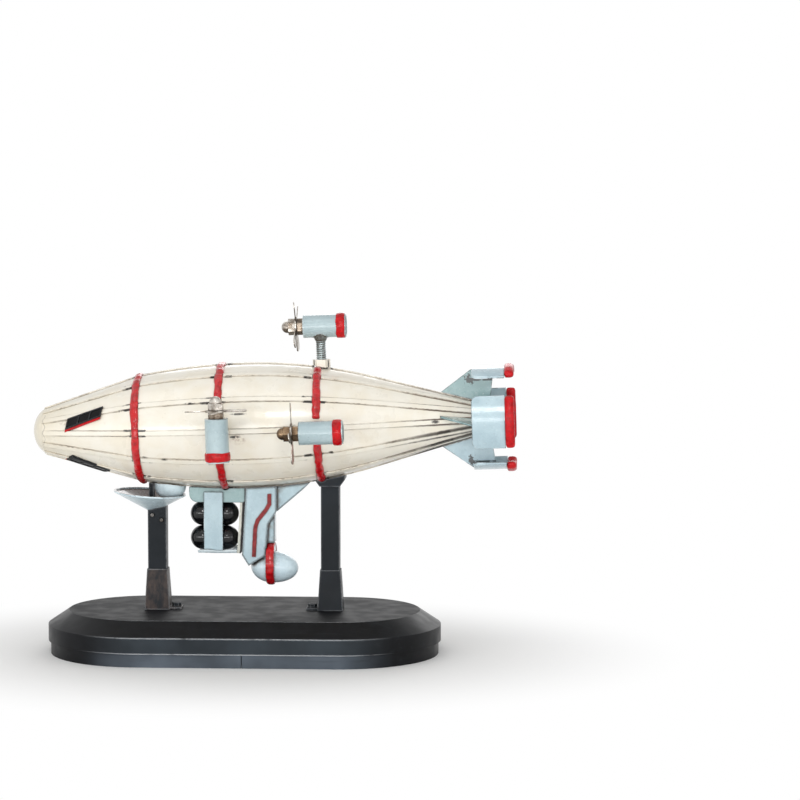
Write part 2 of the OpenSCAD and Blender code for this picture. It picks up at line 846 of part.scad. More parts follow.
module rack_pan() {
    pan_l = rack_ahead + duct_front + lean_at(pan_z) - stop_gap;
    back_corner = 0.3 * pan_corner;
    top_h = pan_h + bury;
    color(GREY_BLUE) under_belly(-rack_ahead, -rack_ahead + pan_l) translate([-rack_ahead, 0, pan_z])
        across(rack_w) {
            translate([0, pan_corner]) square([pan_l, top_h - pan_corner]);
            translate([pan_l / 2, back_corner]) square([pan_l / 2, top_h - back_corner]);
            translate([pan_corner, 0]) square([pan_l - pan_corner - back_corner, top_h]);
            translate([pan_corner, pan_corner]) circle(r = pan_corner);
            translate([pan_l - back_corner, back_corner]) circle(r = back_corner);
        }
}

module rack_balls() {
    color(BLACK)
        for (col = [0, 1], row = [0, 1])
            translate([-rack_ahead + ball_r + col * ball_pitch, 0, ball_top_z - row * ball_pitch])
                sphere(r = ball_r);
}

module rack_straps() {
    strap_top = keel_z - band_h;
    strap_x = -rack_ahead + rack_len / 2 - strap_w / 2;
    color(GREY_BLUE)
        for (s = [-1, 1])
            translate([strap_x, s * (rack_w / 2 + seat_gap + rack_t / 2) - rack_t / 2, tray_z + seat_gap])
                cube([strap_w, rack_t, strap_top - tray_z - seat_gap]);
}

module rack_tray() {
    front = -rack_ahead + 0.7 * ball_r;
    back = plate_x + lean_at(tray_z - rack_t) - seat_gap;
    tray_w = rack_w + 2 * (seat_gap + rack_t + tray_lip);
    color(GREY_BLUE) translate([front, 0, tray_z - rack_t]) linear_extrude(rack_t) {
        translate([tray_lip, -tray_w / 2]) square([back - front - tray_lip, tray_w]);
        translate([0, -tray_w / 2 + tray_lip]) square([back - front, tray_w - 2 * tray_lip]);
        for (s = [-1, 1]) translate([tray_lip, s * (tray_w / 2 - tray_lip)]) circle(r = tray_lip);
    }
}

module rack_end_plate() {
    low = tray_z - rack_t;
    high = pan_z - seat_gap;
    thick = plate_t / cos(duct_lean);
    color(CREAM) translate([plate_x, 0, 0]) across(rack_w)
        polygon([
            [lean_at(low), low], [lean_at(low) + thick, low],
            [lean_at(high) + thick, high], [lean_at(high), high]
        ]);
}

// Duct: a leg that bends back down to the pod, with a red line on both sides and a gusset behind

duct_z = keel_z - duct_h;
duct_front = plate_x + (plate_t + duct_gap) / cos(duct_lean);
duct_x = duct_front + lean_at(keel_z);
duct_bend = keel_z - 0.3 * duct_h;
pod_x = duct_x + 0.78 * duct_len;
pod_z = keel_z - 1.03 * duct_h;

module duct_leg() {
    knee = duct_len * 0.72;
    heel_z = duct_z + 0.1 * duct_h;
    top_z = keel_z + bury;
    core_front = duct_x + duct_len * 0.15;
    core_back = duct_x + duct_len * 0.92;
    color(GREY_BLUE) difference() {
        under_belly(duct_x, duct_x + duct_len) {
            across(duct_w)
                polygon([
                    [duct_front + lean_at(top_z), top_z],
                    [duct_x + duct_len, top_z], [duct_x + duct_len, duct_bend],
                    [duct_x + knee, duct_bend - duct_len * 0.43], [duct_x + knee * 0.9, heel_z],
                    [duct_x + knee * 0.12, duct_z - duct_h * 0.045], [duct_front + lean_at(heel_z), heel_z]
                ]);
            across(duct_w * 0.55)
                translate([core_front, pod_z]) square([core_back - core_front, duct_h]);
        }
        pod_form(seat_gap);
        translate([pod_x, 0, pod_z])
            turned(-pod_ring_w / 2 - stop_gap, pod_tail, pod_plate_r + pod_ring_h + stop_gap);
    }
}

// A line of given width through a list of points, with mitred joints
function unit(v) = v / norm(v);
function left_of(v) = [-v[1], v[0]];
function beside(points, i, d) =
    let (last = len(points) - 1)
    let (before = unit(points[max(i, 1)] - points[max(i, 1) - 1]))
    let (after = unit(points[min(i, last - 1) + 1] - points[min(i, last - 1)]))
    let (out = left_of(unit(before + after)))
    points[i] + out * d / (out * left_of(before));

module stroke(points, w) {
    last = len(points) - 1;
    polygon(concat(
        [for (i = [0:last]) beside(points, i, w / 2)],
        [for (i = [last:-1:0]) beside(points, i, -w / 2)]
    ));
}

module duct_trim() {
    // Shares of the duct's length and of its height, from its top front corner
    route = [[0.77, 0.06], [0.77, 0.2], [0.66, 0.28], [0.39, 0.42], [0.31, 0.52], [0.28, 0.75], [0.26, 0.92]];
    color(RED)
        for (s = [-1, 1]) translate([0, s * (duct_w / 2 + trim_t / 2), 0]) across(trim_t)
            stroke([for (p = route) [duct_x + p[0] * duct_len, keel_z - p[1] * duct_h]], trim_w);
}

module duct_gusset() {
    x = duct_x + duct_len + seat_gap;
    color(GREY_BLUE) under_belly(x, x + gusset_len)
        across(gusset_w)
            polygon([
                [x, keel_z + bury], [x + gusset_len + bury, keel_z + bury],
                [x + gusset_len, keel_z], [x, keel_z - gusset_h]
            ]);
}

// The pod is an egg with a longer tail, low in a round plate that carries the ring
module pod_form(grow = 0) {
    pod_steps = 9;
    half_t = pod_ring_w / 2 - stop_gap + grow;
    drop = pod_plate_r - pod_r - stop_gap;
    translate([pod_x, 0, pod_z]) {
        turned(-half_t, half_t, pod_plate_r + grow);
        translate([0, 0, -drop]) rotate([0, 90 + pod_tilt, 0]) rotate_extrude()
            polygon([for (i = [-pod_steps:pod_steps]) [
                (pod_r + grow) * cos(90 * i / pod_steps),
                ((i < 0 ? pod_nose : pod_tail) + grow) * sin(90 * i / pod_steps)
            ]]);
    }
}

module pod() {
    color(GREY_BLUE) pod_form();
}

module pod_ring() {
    r = bead_r(pod_ring_w, pod_ring_h);
    color(RED) translate([pod_x, 0, pod_z]) difference() {
        rotate([0, 90, 0]) rotate_extrude() translate([pod_plate_r + pod_ring_h - r, 0]) circle(r = r);
        turned(-pod_ring_w, pod_ring_w, pod_plate_r + seat_gap);
    }
}

// Stand

base_straight = base_len - base_w;
side_z = base_h - bevel_h;
skirt_half = base_w / 2 - base_t - seat_gap;

// A long base with round ends, from a half section given as distance out from the middle and height
module long_base(section) {
    for (s = [-1, 1])
        translate([s * base_straight / 2, 0, 0]) rotate([0, 0, -90 * s])
            rotate_extrude(angle = 180) polygon(section);
    for (s = [0, 1])
        rotate([90, 0, 90 + 180 * s]) linear_extrude(base_straight, center = true) polygon(section);
}

// The bolts stand on the inner sides of the feet
bolt_at = post_at - post_w / 2 - foot_spread - tab_len / 2;

module bolt_holes() {
    for (s = [-1, 1]) translate([s * bolt_at, 0, 0]) cylinder(r = bolt_r + seat_gap, h = base_h * 2);
}

module base_pan() {
    half = base_w / 2;
    in = base_t;
    slope_in = base_t * tan((90 - atan2(bevel_w, bevel_h)) / 2);
    color(BLACK) difference() {
        long_base([
            [0, base_h], [half - bevel_w, base_h], [half, side_z], [half, skirt_h],
            [half - in, skirt_h], [half - in, side_z - in],
            [half - bevel_w - slope_in, base_h - in], [0, base_h - in]
        ]);
        bolt_holes();
    }
}

module base_skirt() {
    seam = 0.4;
    top = skirt_h + skirt_tuck;
    color(BLACK) difference() {
        long_base([[skirt_half - base_t, 0], [skirt_half, 0], [skirt_half, top], [skirt_half - base_t, top]]);
        translate([seam_aft - seam / 2, -base_w, -cut]) cube([seam, base_w, top + 2 * cut]);
    }
}

module base_bottom() {
    half = skirt_half - base_t - stop_gap;
    color(BLACK) long_base([[0, 0], [half, 0], [half, base_t], [0, base_t]]);
}

module post(x, top) {
    color(BLACK) translate([x - post_w / 2, -post_d / 2, base_h]) cube([post_w, post_d, top - base_h]);
}

// Places a piece on the axis of each screw at the top of the front post, with +Z out of the post's side
module on_screws() {
    for (s = [-1, 1], k = [-1, 1])
        translate([-post_at + k * post_w / 4, 0, scoop_floor_z - (3 + k) * screw_r])
            rotate([s * 90, 0, 0]) children();
}

// The front post ends in a slope under the scoop's floor, and its tongue goes on up to the hull
module post_front() {
    slope_h = post_w * tan(scoop_rise);
    color(BLACK) under_belly(pad_front, pad_front + scoop_wall + tongue_t) tongue(0);
    difference() {
        post(-post_at, scoop_floor_z + slope_h);
        floor_frame() translate([-cut, -post_d, 0]) cube([pad_len + 2 * cut, 2 * post_d, slope_h + cut]);
        on_screws() translate([0, 0, post_d / 2 - screw_depth])
            cylinder(r = screw_r / 2 + seat_gap, h = screw_depth + cut);
    }
}

module post_screws() {
    color(BLACK) on_screws() {
        translate([0, 0, post_d / 2]) cylinder(r1 = screw_r, r2 = 0.7 * screw_r, h = screw_h);
        translate([0, 0, post_d / 2 - screw_depth]) cylinder(r = screw_r / 2, h = screw_depth + screw_h / 2);
    }
}

module post_rear() {
    post(post_at, belly_z(post_at) - saddle_t);
}

// A tapered sleeve round the bottom of a post, with a bolted tab towards the middle of the base
module foot(x, inner) {
    bottom_w = post_w + 2 * foot_spread;
    bottom_d = post_d + 2 * foot_spread;
    top_w = post_w + 2 * foot_lip;
    top_d = post_d + 2 * foot_lip;
    tab_l = bottom_w / 2 + tab_len;
    color(BLACK) difference() {
        translate([x, 0, base_h]) union() {
            intersection() {
                across(bottom_d)
                    polygon([[-bottom_w / 2, 0], [bottom_w / 2, 0], [top_w / 2, foot_h], [-top_w / 2, foot_h]]);
                rotate([0, 0, 90]) across(bottom_w)
                    polygon([[-bottom_d / 2, 0], [bottom_d / 2, 0], [top_d / 2, foot_h], [-top_d / 2, foot_h]]);
            }
            translate([inner > 0 ? 0 : -tab_l, -post_d / 2, 0]) cube([tab_l, post_d, tab_t]);
        }
        translate([x - post_w / 2 - seat_gap, -post_d / 2 - seat_gap, base_h - cut])
            cube([post_w + 2 * seat_gap, post_d + 2 * seat_gap, foot_h + 2 * cut]);
        bolt_holes();
    }
}

module foot_front() {
    foot(-post_at, 1);
}

module foot_rear() {
    foot(post_at, -1);
}

// Hexagon bolts through the tabs, with nuts inside the base
module foot_fasteners() {
    corner = bolt_af / 2 * hex_corner;
    head_z = base_h + tab_t;
    nut_z = base_h - base_t - bolt_h;
    color(BLACK)
        for (s = [-1, 1])
            translate([s * bolt_at, 0, 0]) {
                translate([0, 0, head_z]) cylinder(r = corner, h = bolt_h, $fn = 6);
                translate([0, 0, nut_z - bolt_r])
                    cylinder(r = bolt_r, h = head_z - nut_z + bolt_r + bolt_h / 2);
                difference() {
                    translate([0, 0, nut_z]) cylinder(r = corner, h = bolt_h, $fn = 6);
                    translate([0, 0, nut_z - cut]) cylinder(r = bolt_r + seat_gap, h = bolt_h + 2 * cut);
                }
            }
}

// A block on the rear post, hollowed to the hull
module saddle() {
    bottom = belly_z(post_at) - saddle_t;
    half = post_w / 2 + foot_lip;
    color(BLACK) under_belly(post_at - saddle_len / 2, post_at + saddle_len / 2)
        translate([post_at, 0, bottom]) across(saddle_w)
            polygon([
                [-half, 0], [half, 0], [saddle_len / 2, saddle_t],
                [saddle_len / 2, saddle_t + bury], [-saddle_len / 2, saddle_t + bury],
                [-saddle_len / 2, saddle_t]
            ]);
}

base_pan();
base_skirt();
base_bottom();
post_front();
post_rear();
post_screws();
foot_front();
foot_rear();
foot_fasteners();
saddle();
nose_cap();
hull_nose();
hull_front();
hull_rear();
hull_tail();
tail_plug();
battens_nose();
battens_front();
battens_rear();
battens_tail();
band_front();
band_middle();
band_rear();
window_frames();
window_panes();
window_sills();
for (f = FINS) fin(f[2], f[3]);
tail_shrouds();
tail_rims();
for (n = NACELLES) nacelle(n);
for (n = NACELLES) propeller(n);
nacelle_rings();
pylons();
pylon_collars();
prop_studs();
spacer_nuts();
cap_nuts();
turret_bowl();
scoop_tray();
rack_pan();
rack_balls();
rack_straps();
rack_tray();
rack_end_plate();
duct_leg();
duct_trim();
duct_gusset();
pod();
pod_ring();
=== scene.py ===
import math

import bpy
from mathutils import Matrix, Vector, noise


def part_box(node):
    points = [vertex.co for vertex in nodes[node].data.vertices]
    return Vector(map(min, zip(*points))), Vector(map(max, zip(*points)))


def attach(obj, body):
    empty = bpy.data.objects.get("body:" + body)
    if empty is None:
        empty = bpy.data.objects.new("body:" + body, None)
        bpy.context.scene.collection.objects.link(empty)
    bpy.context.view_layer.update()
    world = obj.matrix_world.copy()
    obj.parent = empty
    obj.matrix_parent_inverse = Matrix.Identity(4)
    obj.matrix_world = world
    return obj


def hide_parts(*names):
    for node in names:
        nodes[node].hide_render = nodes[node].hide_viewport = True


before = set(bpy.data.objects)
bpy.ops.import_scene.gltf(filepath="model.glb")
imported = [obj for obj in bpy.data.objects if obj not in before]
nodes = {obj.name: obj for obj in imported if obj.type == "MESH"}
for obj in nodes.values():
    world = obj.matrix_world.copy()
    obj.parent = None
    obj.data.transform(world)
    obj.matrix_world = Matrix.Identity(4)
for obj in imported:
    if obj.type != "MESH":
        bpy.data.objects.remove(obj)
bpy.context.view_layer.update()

# Lengths are in millimetres and become metres where a mesh is made; floor and lamps are in metres
MM = 0.001

# Sizes repeated from the part's source
AXIS_Z = 120.5
NOSE_AHEAD = 111.3
HULL_PITCH = math.radians(2)
HULL_LEN = 240
HULL_R = 32.4
WIDEST_AT = 114
SHOULDER_R = 27.5
TAIL_R = 7
TAIL_CONE_AT = 181
CAP_LEN = 6
CAP_R = 11.7
BATTENS = 12
BATTEN_W = 2.4
BATTEN_H = 0.7
BANDS = {"band_front": 57, "band_middle": 101, "band_rear": 152}
BAND_W = 4.2
BAND_H = 1.6
PYLON_AFT = 1.6
STAND_OFF = 51
NACELLE_R = 6
NACELLE_LEN = 22.6
NACELLE_FRONT = 8.9
RING_W = 4.6
RING_T = 0.6
RING_LIP = 0.6
STUD_R = 2.65
FLARE_R = 4.6
FLARE_H = 4.5
COLLAR_R = 4.62
SHROUD_R = 27
SHROUD_T = 1.2
SHROUD_W = 27.4
SHROUD_AHEAD = 7.8
SHROUD_LEN = 17.2
RIM_AT = HULL_LEN - SHROUD_AHEAD + SHROUD_LEN
RIM_W = 5
RIM_T = 3.8
POD_PLATE_R = 10.6
POD_RING_W = 4.3
POD_RING_H = 1.2
PLATE_T = 1.9
DUCT_LEAN = math.radians(3.5)
TRAY_LIP = 1

# Nacelle name, band it stands behind, roll about the hull axis from the top,
# and turn about its pylon, both in degrees
NACELLES = [
    ("port_front", "band_middle", 90, -90),
    ("port_rear", "band_rear", 90, 0),
    ("starboard_front", "band_middle", -90, 90),
    ("starboard_rear", "band_rear", -90, 0),
    ("top", "band_rear", 0, 0),
]
FIN_ROLLS = [0, 180, 90, -90]

# Edges sharper than these stay sharp on the pieces made here
SMOOTH_ANGLE = math.radians(32)
TRAY_SMOOTH = math.radians(50)
RIM_SMOOTH = math.radians(60)
THREAD_SMOOTH = math.radians(70)

# Seeds of the smooth noise that shapes the pieces made here
BAND_SEED = 11
BAND_SEED_STEP = 5
TRAY_SEED = 31
POD_SEED = 41
RING_SEED = 50
RIM_SEED = 70

HULL_FRAME = (
    Matrix.Translation((0, 0, AXIS_Z))
    @ Matrix.Rotation(-HULL_PITCH, 4, "Y")
    @ Matrix.Translation((-NOSE_AHEAD, 0, 0))
)


def skin_r(u):
    """Radius of the hull's skin at a station."""
    if u <= BANDS["band_front"]:
        return CAP_R + (SHOULDER_R - CAP_R) * (u - CAP_LEN) / (BANDS["band_front"] - CAP_LEN)
    if u <= WIDEST_AT:
        t = (WIDEST_AT - u) / (WIDEST_AT - BANDS["band_front"])
        return HULL_R - (HULL_R - SHOULDER_R) * t * t
    ratio = 2 * (HULL_LEN - TAIL_CONE_AT) / (TAIL_CONE_AT - WIDEST_AT) + 1
    drop = (HULL_R - TAIL_R) / ratio
    if u <= TAIL_CONE_AT:
        t = (u - WIDEST_AT) / (TAIL_CONE_AT - WIDEST_AT)
        return HULL_R - drop * t * t
    t = (u - TAIL_CONE_AT) / (HULL_LEN - TAIL_CONE_AT)
    return HULL_R - drop + (TAIL_R - HULL_R + drop) * t


def pylon_frame(name):
    """The hull axis at a nacelle's pylon, with +Z out along the pylon."""
    _, band, roll, _ = next(n for n in NACELLES if n[0] == name)
    place = Matrix.Translation((BANDS[band] + PYLON_AFT, 0, 0))
    return HULL_FRAME @ place @ Matrix.Rotation(math.radians(roll), 4, "X")


def nacelle_frame(name):
    """A nacelle's axis at its pylon, with the propeller towards -X."""
    turn = next(n[3] for n in NACELLES if n[0] == name)
    out = Matrix.Translation((0, 0, STAND_OFF))
    return pylon_frame(name) @ out @ Matrix.Rotation(math.radians(turn), 4, "Z")


def wobble(p, scale, seed):
    """Smooth repeatable noise from -1 to 1 at a point."""
    return noise.noise(Vector(p) * scale + Vector((seed * 7.3, seed * 3.1, seed * 5.7)))


# Camera

AIM = Vector((82.4, 0, 134.2))
CAMERA_DIST = 1680
CAMERA_YAW = math.radians(3)
CAMERA_RISE = math.radians(5.5)
SENSOR = 36
PICTURE_W = 800
FOCAL_PX = 3200
CLIP_START = 50

look = Vector((
    math.sin(CAMERA_YAW) * math.cos(CAMERA_RISE),
    -math.cos(CAMERA_YAW) * math.cos(CAMERA_RISE),
    math.sin(CAMERA_RISE),
))
camera_data = bpy.data.cameras.new("camera")
camera_data.sensor_width = SENSOR
camera_data.lens = FOCAL_PX * SENSOR / PICTURE_W
camera_data.clip_start = CLIP_START * MM
camera = bpy.data.objects.new("camera", camera_data)
camera.location = (AIM + look * CAMERA_DIST) * MM
camera.rotation_euler = look.to_track_quat("Z", "Y").to_euler()
bpy.context.scene.collection.objects.link(camera)
bpy.context.scene.camera = camera
bpy.context.scene.view_settings.view_transform = "Standard"


# Materials

def colour(r, g, b):
    """A screen colour from 0 to 255 as the linear colour that a shader takes."""
    def linear(v):
        v = v / 255
        return v / 12.92 if v <= 0.04045 else ((v + 0.055) / 1.055) ** 2.4
    return (linear(r), linear(g), linear(b), 1)


class Paint:
    """A material with a Principled shader, and short calls that add nodes to it."""

    def __init__(self, name):
        self.material = bpy.data.materials.new(name)
        self.material.use_nodes = True
        self.tree = self.material.node_tree
        self.shader = self.tree.nodes["Principled BSDF"]
        where = self.node("ShaderNodeTexCoord").outputs["Object"]
        place = self.node("ShaderNodeMapping")
        place.inputs["Scale"].default_value = (1 / MM, 1 / MM, 1 / MM)
        self.feed(place.inputs["Vector"], where)
        self.mm = place.outputs["Vector"]

    def node(self, kind, **settings):
        """A new node with the settings given."""
        made = self.tree.nodes.new(kind)
        for key, value in settings.items():
            setattr(made, key, value)
        return made

    def feed(self, socket, value):
        """Links another node's output to a socket, or sets a constant on it."""
        if isinstance(value, bpy.types.NodeSocket):
            self.tree.links.new(value, socket)
        else:
            socket.default_value = value

    def math(self, operation, a, b=0.0, c=0.0):
        """The result of a math node on numbers or outputs."""
        made = self.node("ShaderNodeMath", operation=operation)
        for socket, value in zip(made.inputs, (a, b, c)):
            self.feed(socket, value)
        return made.outputs[0]

    def noise(self, scale, detail=2.0, rough=0.5, vector=None):
        """Noise from 0 to 1, with its scale per millimetre."""
        made = self.node("ShaderNodeTexNoise")
        self.feed(made.inputs["Vector"], vector or self.mm)
        made.inputs["Scale"].default_value = scale
        made.inputs["Detail"].default_value = detail
        made.inputs["Roughness"].default_value = rough
        return made.outputs[0]

    def stretch(self, scale):
        """Coordinates for a noise that is drawn out where scale is small."""
        made = self.node("ShaderNodeMapping")
        self.feed(made.inputs["Vector"], self.mm)
        made.inputs["Scale"].default_value = scale
        return made.outputs["Vector"]

    def ramp(self, value, low, high, to_low=0.0, to_high=1.0):
        """Takes value from low..high to to_low..to_high, smoothly and within those ends."""
        made = self.node("ShaderNodeMapRange", interpolation_type="SMOOTHSTEP")
        for socket, v in zip(made.inputs, (value, low, high, to_low, to_high)):
            self.feed(socket, v)
        return made.outputs[0]

    def mix(self, factor, a, b):
        """Colour a where factor is 0, and b where it is 1."""
        made = self.node("ShaderNodeMix", data_type="RGBA")
        self.feed(made.inputs[0], factor)
        self.feed(made.inputs[6], a)
        self.feed(made.inputs[7], b)
        return made.outputs[2]

    def times(self, *values):
        """The product of all values."""
        total = values[0]
        for v in values[1:]:
            total = self.math("MULTIPLY", total, v)
        return total

    def most(self, *values):
        """The largest of all values."""
        total = values[0]
        for v in values[1:]:
            total = self.math("MAXIMUM", total, v)
        return total

    def length(self, a, b):
        """Length of a vector with two parts."""
        return self.math("SQRT", self.math("ADD", self.times(a, a), self.times(b, b)))

    def split(self, vector):
        """The x, y and z of a vector."""
        made = self.node("ShaderNodeSeparateXYZ")
        self.feed(made.inputs[0], vector)
        return made.outputs

    def normal(self):
        """The surface's own normal."""
        return self.node("ShaderNodeNewGeometry").outputs["Normal"]

    def upward(self):
        """How far the surface looks up, from -1 to 1."""
        return self.split(self.normal())[2]

    def crease(self, reach, low=0.35, high=0.9):
        """1 in creases and under overhangs, 0 in the open."""
        made = self.node("ShaderNodeAmbientOcclusion", samples=8)
        made.inputs["Distance"].default_value = reach * MM
        return self.ramp(made.outputs["AO"], high, low)

    def soft_normal(self, radius):
        """The normal as if edges were rounded by radius."""
        made = self.node("ShaderNodeBevel", samples=6)
        made.inputs["Radius"].default_value = radius * MM
        return made.outputs[0]

    def edge(self, radius, full=0.8):
        """1 on sharp edges, 0 on flat or gently curved faces."""
        dot = self.node("ShaderNodeVectorMath", operation="DOT_PRODUCT")
        self.feed(dot.inputs[0], self.soft_normal(radius))
        self.feed(dot.inputs[1], self.normal())
        return self.ramp(dot.outputs["Value"], 0.98, full)

    def finish(self, base, rough, heights=(), bevel=0.25, metal=0.0, coat=0.0, specular=0.5):
        """Links the shader: base colour, roughness, and bump from (height, depth in mm) pairs."""
        shader = self.shader
        self.feed(shader.inputs["Base Color"], base)
        self.feed(shader.inputs["Roughness"], rough)
        self.feed(shader.inputs["Metallic"], metal)
        shader.inputs["Specular IOR Level"].default_value = specular
        shader.inputs["Coat Weight"].default_value = coat
        shader.inputs["Coat Roughness"].default_value = COAT_ROUGH
        normal = self.soft_normal(bevel) if bevel else None
        for height, depth in heights:
            bump = self.node("ShaderNodeBump")
            bump.inputs["Strength"].default_value = 1
            bump.inputs["Distance"].default_value = depth * MM
            self.feed(bump.inputs["Height"], height)
            if normal:
                self.feed(bump.inputs["Normal"], normal)
            normal = bump.outputs["Normal"]
        if normal:
            self.feed(shader.inputs["Normal"], normal)
        return self.material


COAT_ROUGH = 0.13

CREAM = colour(241, 236, 223)
CREAM_WARM = colour(236, 228, 210)
CREAM_NOSE = colour(224, 215, 194)
CREAM_SPECK = colour(196, 184, 160)
CREAM_CREASE_SHADE = colour(140, 118, 92)
CREAM_SEAM = colour(150, 144, 134)
CREAM_SMUDGE = colour(150, 116, 92)
PLATE_TONES = (colour(218, 217, 205), colour(196, 198, 188))
PLATE_WEAR = colour(128, 118, 100)
BROWN = colour(92, 72, 54)
SOOT = colour(34, 29, 26)
RED_TONES = (colour(200, 20, 28), colour(158, 10, 16))
RED_FADED_TONES = (colour(146, 52, 54), colour(98, 34, 34))
RED_PALE = colour(224, 84, 88)
RED_CREASE_SHADE = colour(70, 8, 10)
BLUE_TONES = (colour(170, 194, 204), colour(185, 208, 216))
BLUE_DARK = colour(142, 167, 176)
BLUE_SPECK = colour(228, 236, 236)
BLUE_DOT = colour(80, 82, 80)
BLUE_EDGE_HIGHLIGHT = colour(232, 240, 242)
INK = colour(40, 37, 34)
INSIDE_BROWN = colour(88, 68, 60)
STAIN = colour(112, 92, 70)
# A paler copy of the grey-blue for the pieces under the hull: painted light against the shade they sit in
LIT_TONES = (colour(209, 230, 240), colour(219, 238, 245))
NACELLE_TONES = (colour(163, 183, 188), colour(177, 196, 200))
# A darker copy of the grey-blue: painted shade on the top fin, the side fins and the rack's pan
SHADED_TONES = (colour(140, 169, 170), colour(156, 184, 185))
BLACK = colour(14, 15, 17)
BLACK_SOFT = colour(22, 23, 26)
BLACK_STREAK = colour(40, 43, 46)
BLACK_SCRAPE = colour(104, 88, 80)
BLACK_DUST = colour(96, 98, 98)
# Paler colours for upright black faces: a painted reflection
BLACK_SIDE_SHEEN = colour(36, 41, 46)
PAN_SIDE_SHEEN = colour(54, 61, 67)
SKIRT_SIDE_SHEEN = colour(96, 105, 115)
# Bright edges on the black paint: partly wear, partly painted highlight
BLACK_RUB_SHINE = colour(212, 216, 220)
GLOSS_TONES = (colour(9, 9, 11), colour(18, 19, 22))
GLOSS_SCUFF = colour(84, 86, 90)
METAL_UNDER_SHADE = colour(70, 56, 44)
METAL_CREASE = colour(48, 36, 28)
METAL_STAIN = colour(92, 72, 56)
NICKEL_TONES = (colour(206, 201, 193), colour(122, 110, 97))
PYLON_TONES = (colour(196, 207, 208), colour(134, 144, 144))
SCREW_TONES = (colour(104, 102, 100), colour(56, 54, 52))
SPACER_TONES = (colour(150, 138, 124), colour(76, 62, 50))
BRASS_TONES = (colour(146, 123, 98), colour(68, 52, 40))

# Distance from the middle of the base over which its side goes from a painted reflection with bright edges
# to plain black
SHEEN_SPAN = (48, 84)

# Nuts behind this X and below this Z are bronze
BRONZE_AFT_OF = 0
BRONZE_BELOW = 150

# Hull paint, by station or by angle from the top: where the lines begin, where they crowd together
# towards the tail, where they are darkest and widest (partly painted shade on the underside), where the
# dashes begin, and how far the nose is darker
LINES_FROM = (8, 14)
LINES_CROWD = (175, 212)
LINES_BELOW = (math.radians(75), math.radians(122))
DASHES_FROM = (30, 40)
NOSE_DARK = (30, 4)

# Dark marks on the top and bottom fins, a painted shadow line under the shroud with ink blots: radius on
# each, the angles between which it changes, and its station
FIN_MARKS_R = (20.3, 22.8)
FIN_MARKS_TURN = (0.8, 2.3)
FIN_MARKS_AT = 231

# Marks on the hull paint: station, angle from the top in degrees, half length, half height, on both sides
SMUDGES = [
    (111.5, 97, 4.5, 3.4),
    (96, 93, 2.6, 1.4),
    (160, 84, 4, 1.6),
    (20, 70, 4.5, 1.4),
]
CHIPS = [
    (86.5, 62, 3.2, 0.55),
    (109.5, 95, 3.4, 0.8),
    (112, 74, 4.8, 0.7),
    (72, 118, 2.2, 0.4),
    (213, 89, 2.4, 1.2),
]


def hull_place(paint):
    """Station, angle from the top and radius on the hull, in millimetres and radians."""
    turn = paint.node("ShaderNodeMapping")
    paint.feed(turn.inputs["Vector"], paint.mm)
    turn.inputs["Rotation"].default_value = (0, HULL_PITCH, 0)
    back = Matrix.Rotation(HULL_PITCH, 4, "Y") @ Vector((0, 0, -AXIS_Z))
    turn.inputs["Location"].default_value = (back.x + NOSE_AHEAD, back.y, back.z)
    x, y, z = paint.split(turn.outputs["Vector"])
    angle = paint.math("ARCTAN2", paint.math("ABSOLUTE", y), z)
    return x, angle, paint.length(y, z)


def spot(paint, place, mark):
    """A soft oval on the hull, 1 in its middle."""
    u, angle, radius = place
    at, roll, half_l, half_h = mark
    along = paint.math("DIVIDE", paint.math("SUBTRACT", u, at), half_l)
    arc = paint.times(paint.math("SUBTRACT", angle, math.radians(roll)), radius)
    up = paint.math("DIVIDE", arc, half_h)
    return paint.ramp(paint.length(along, up), 1.15, 0.35)


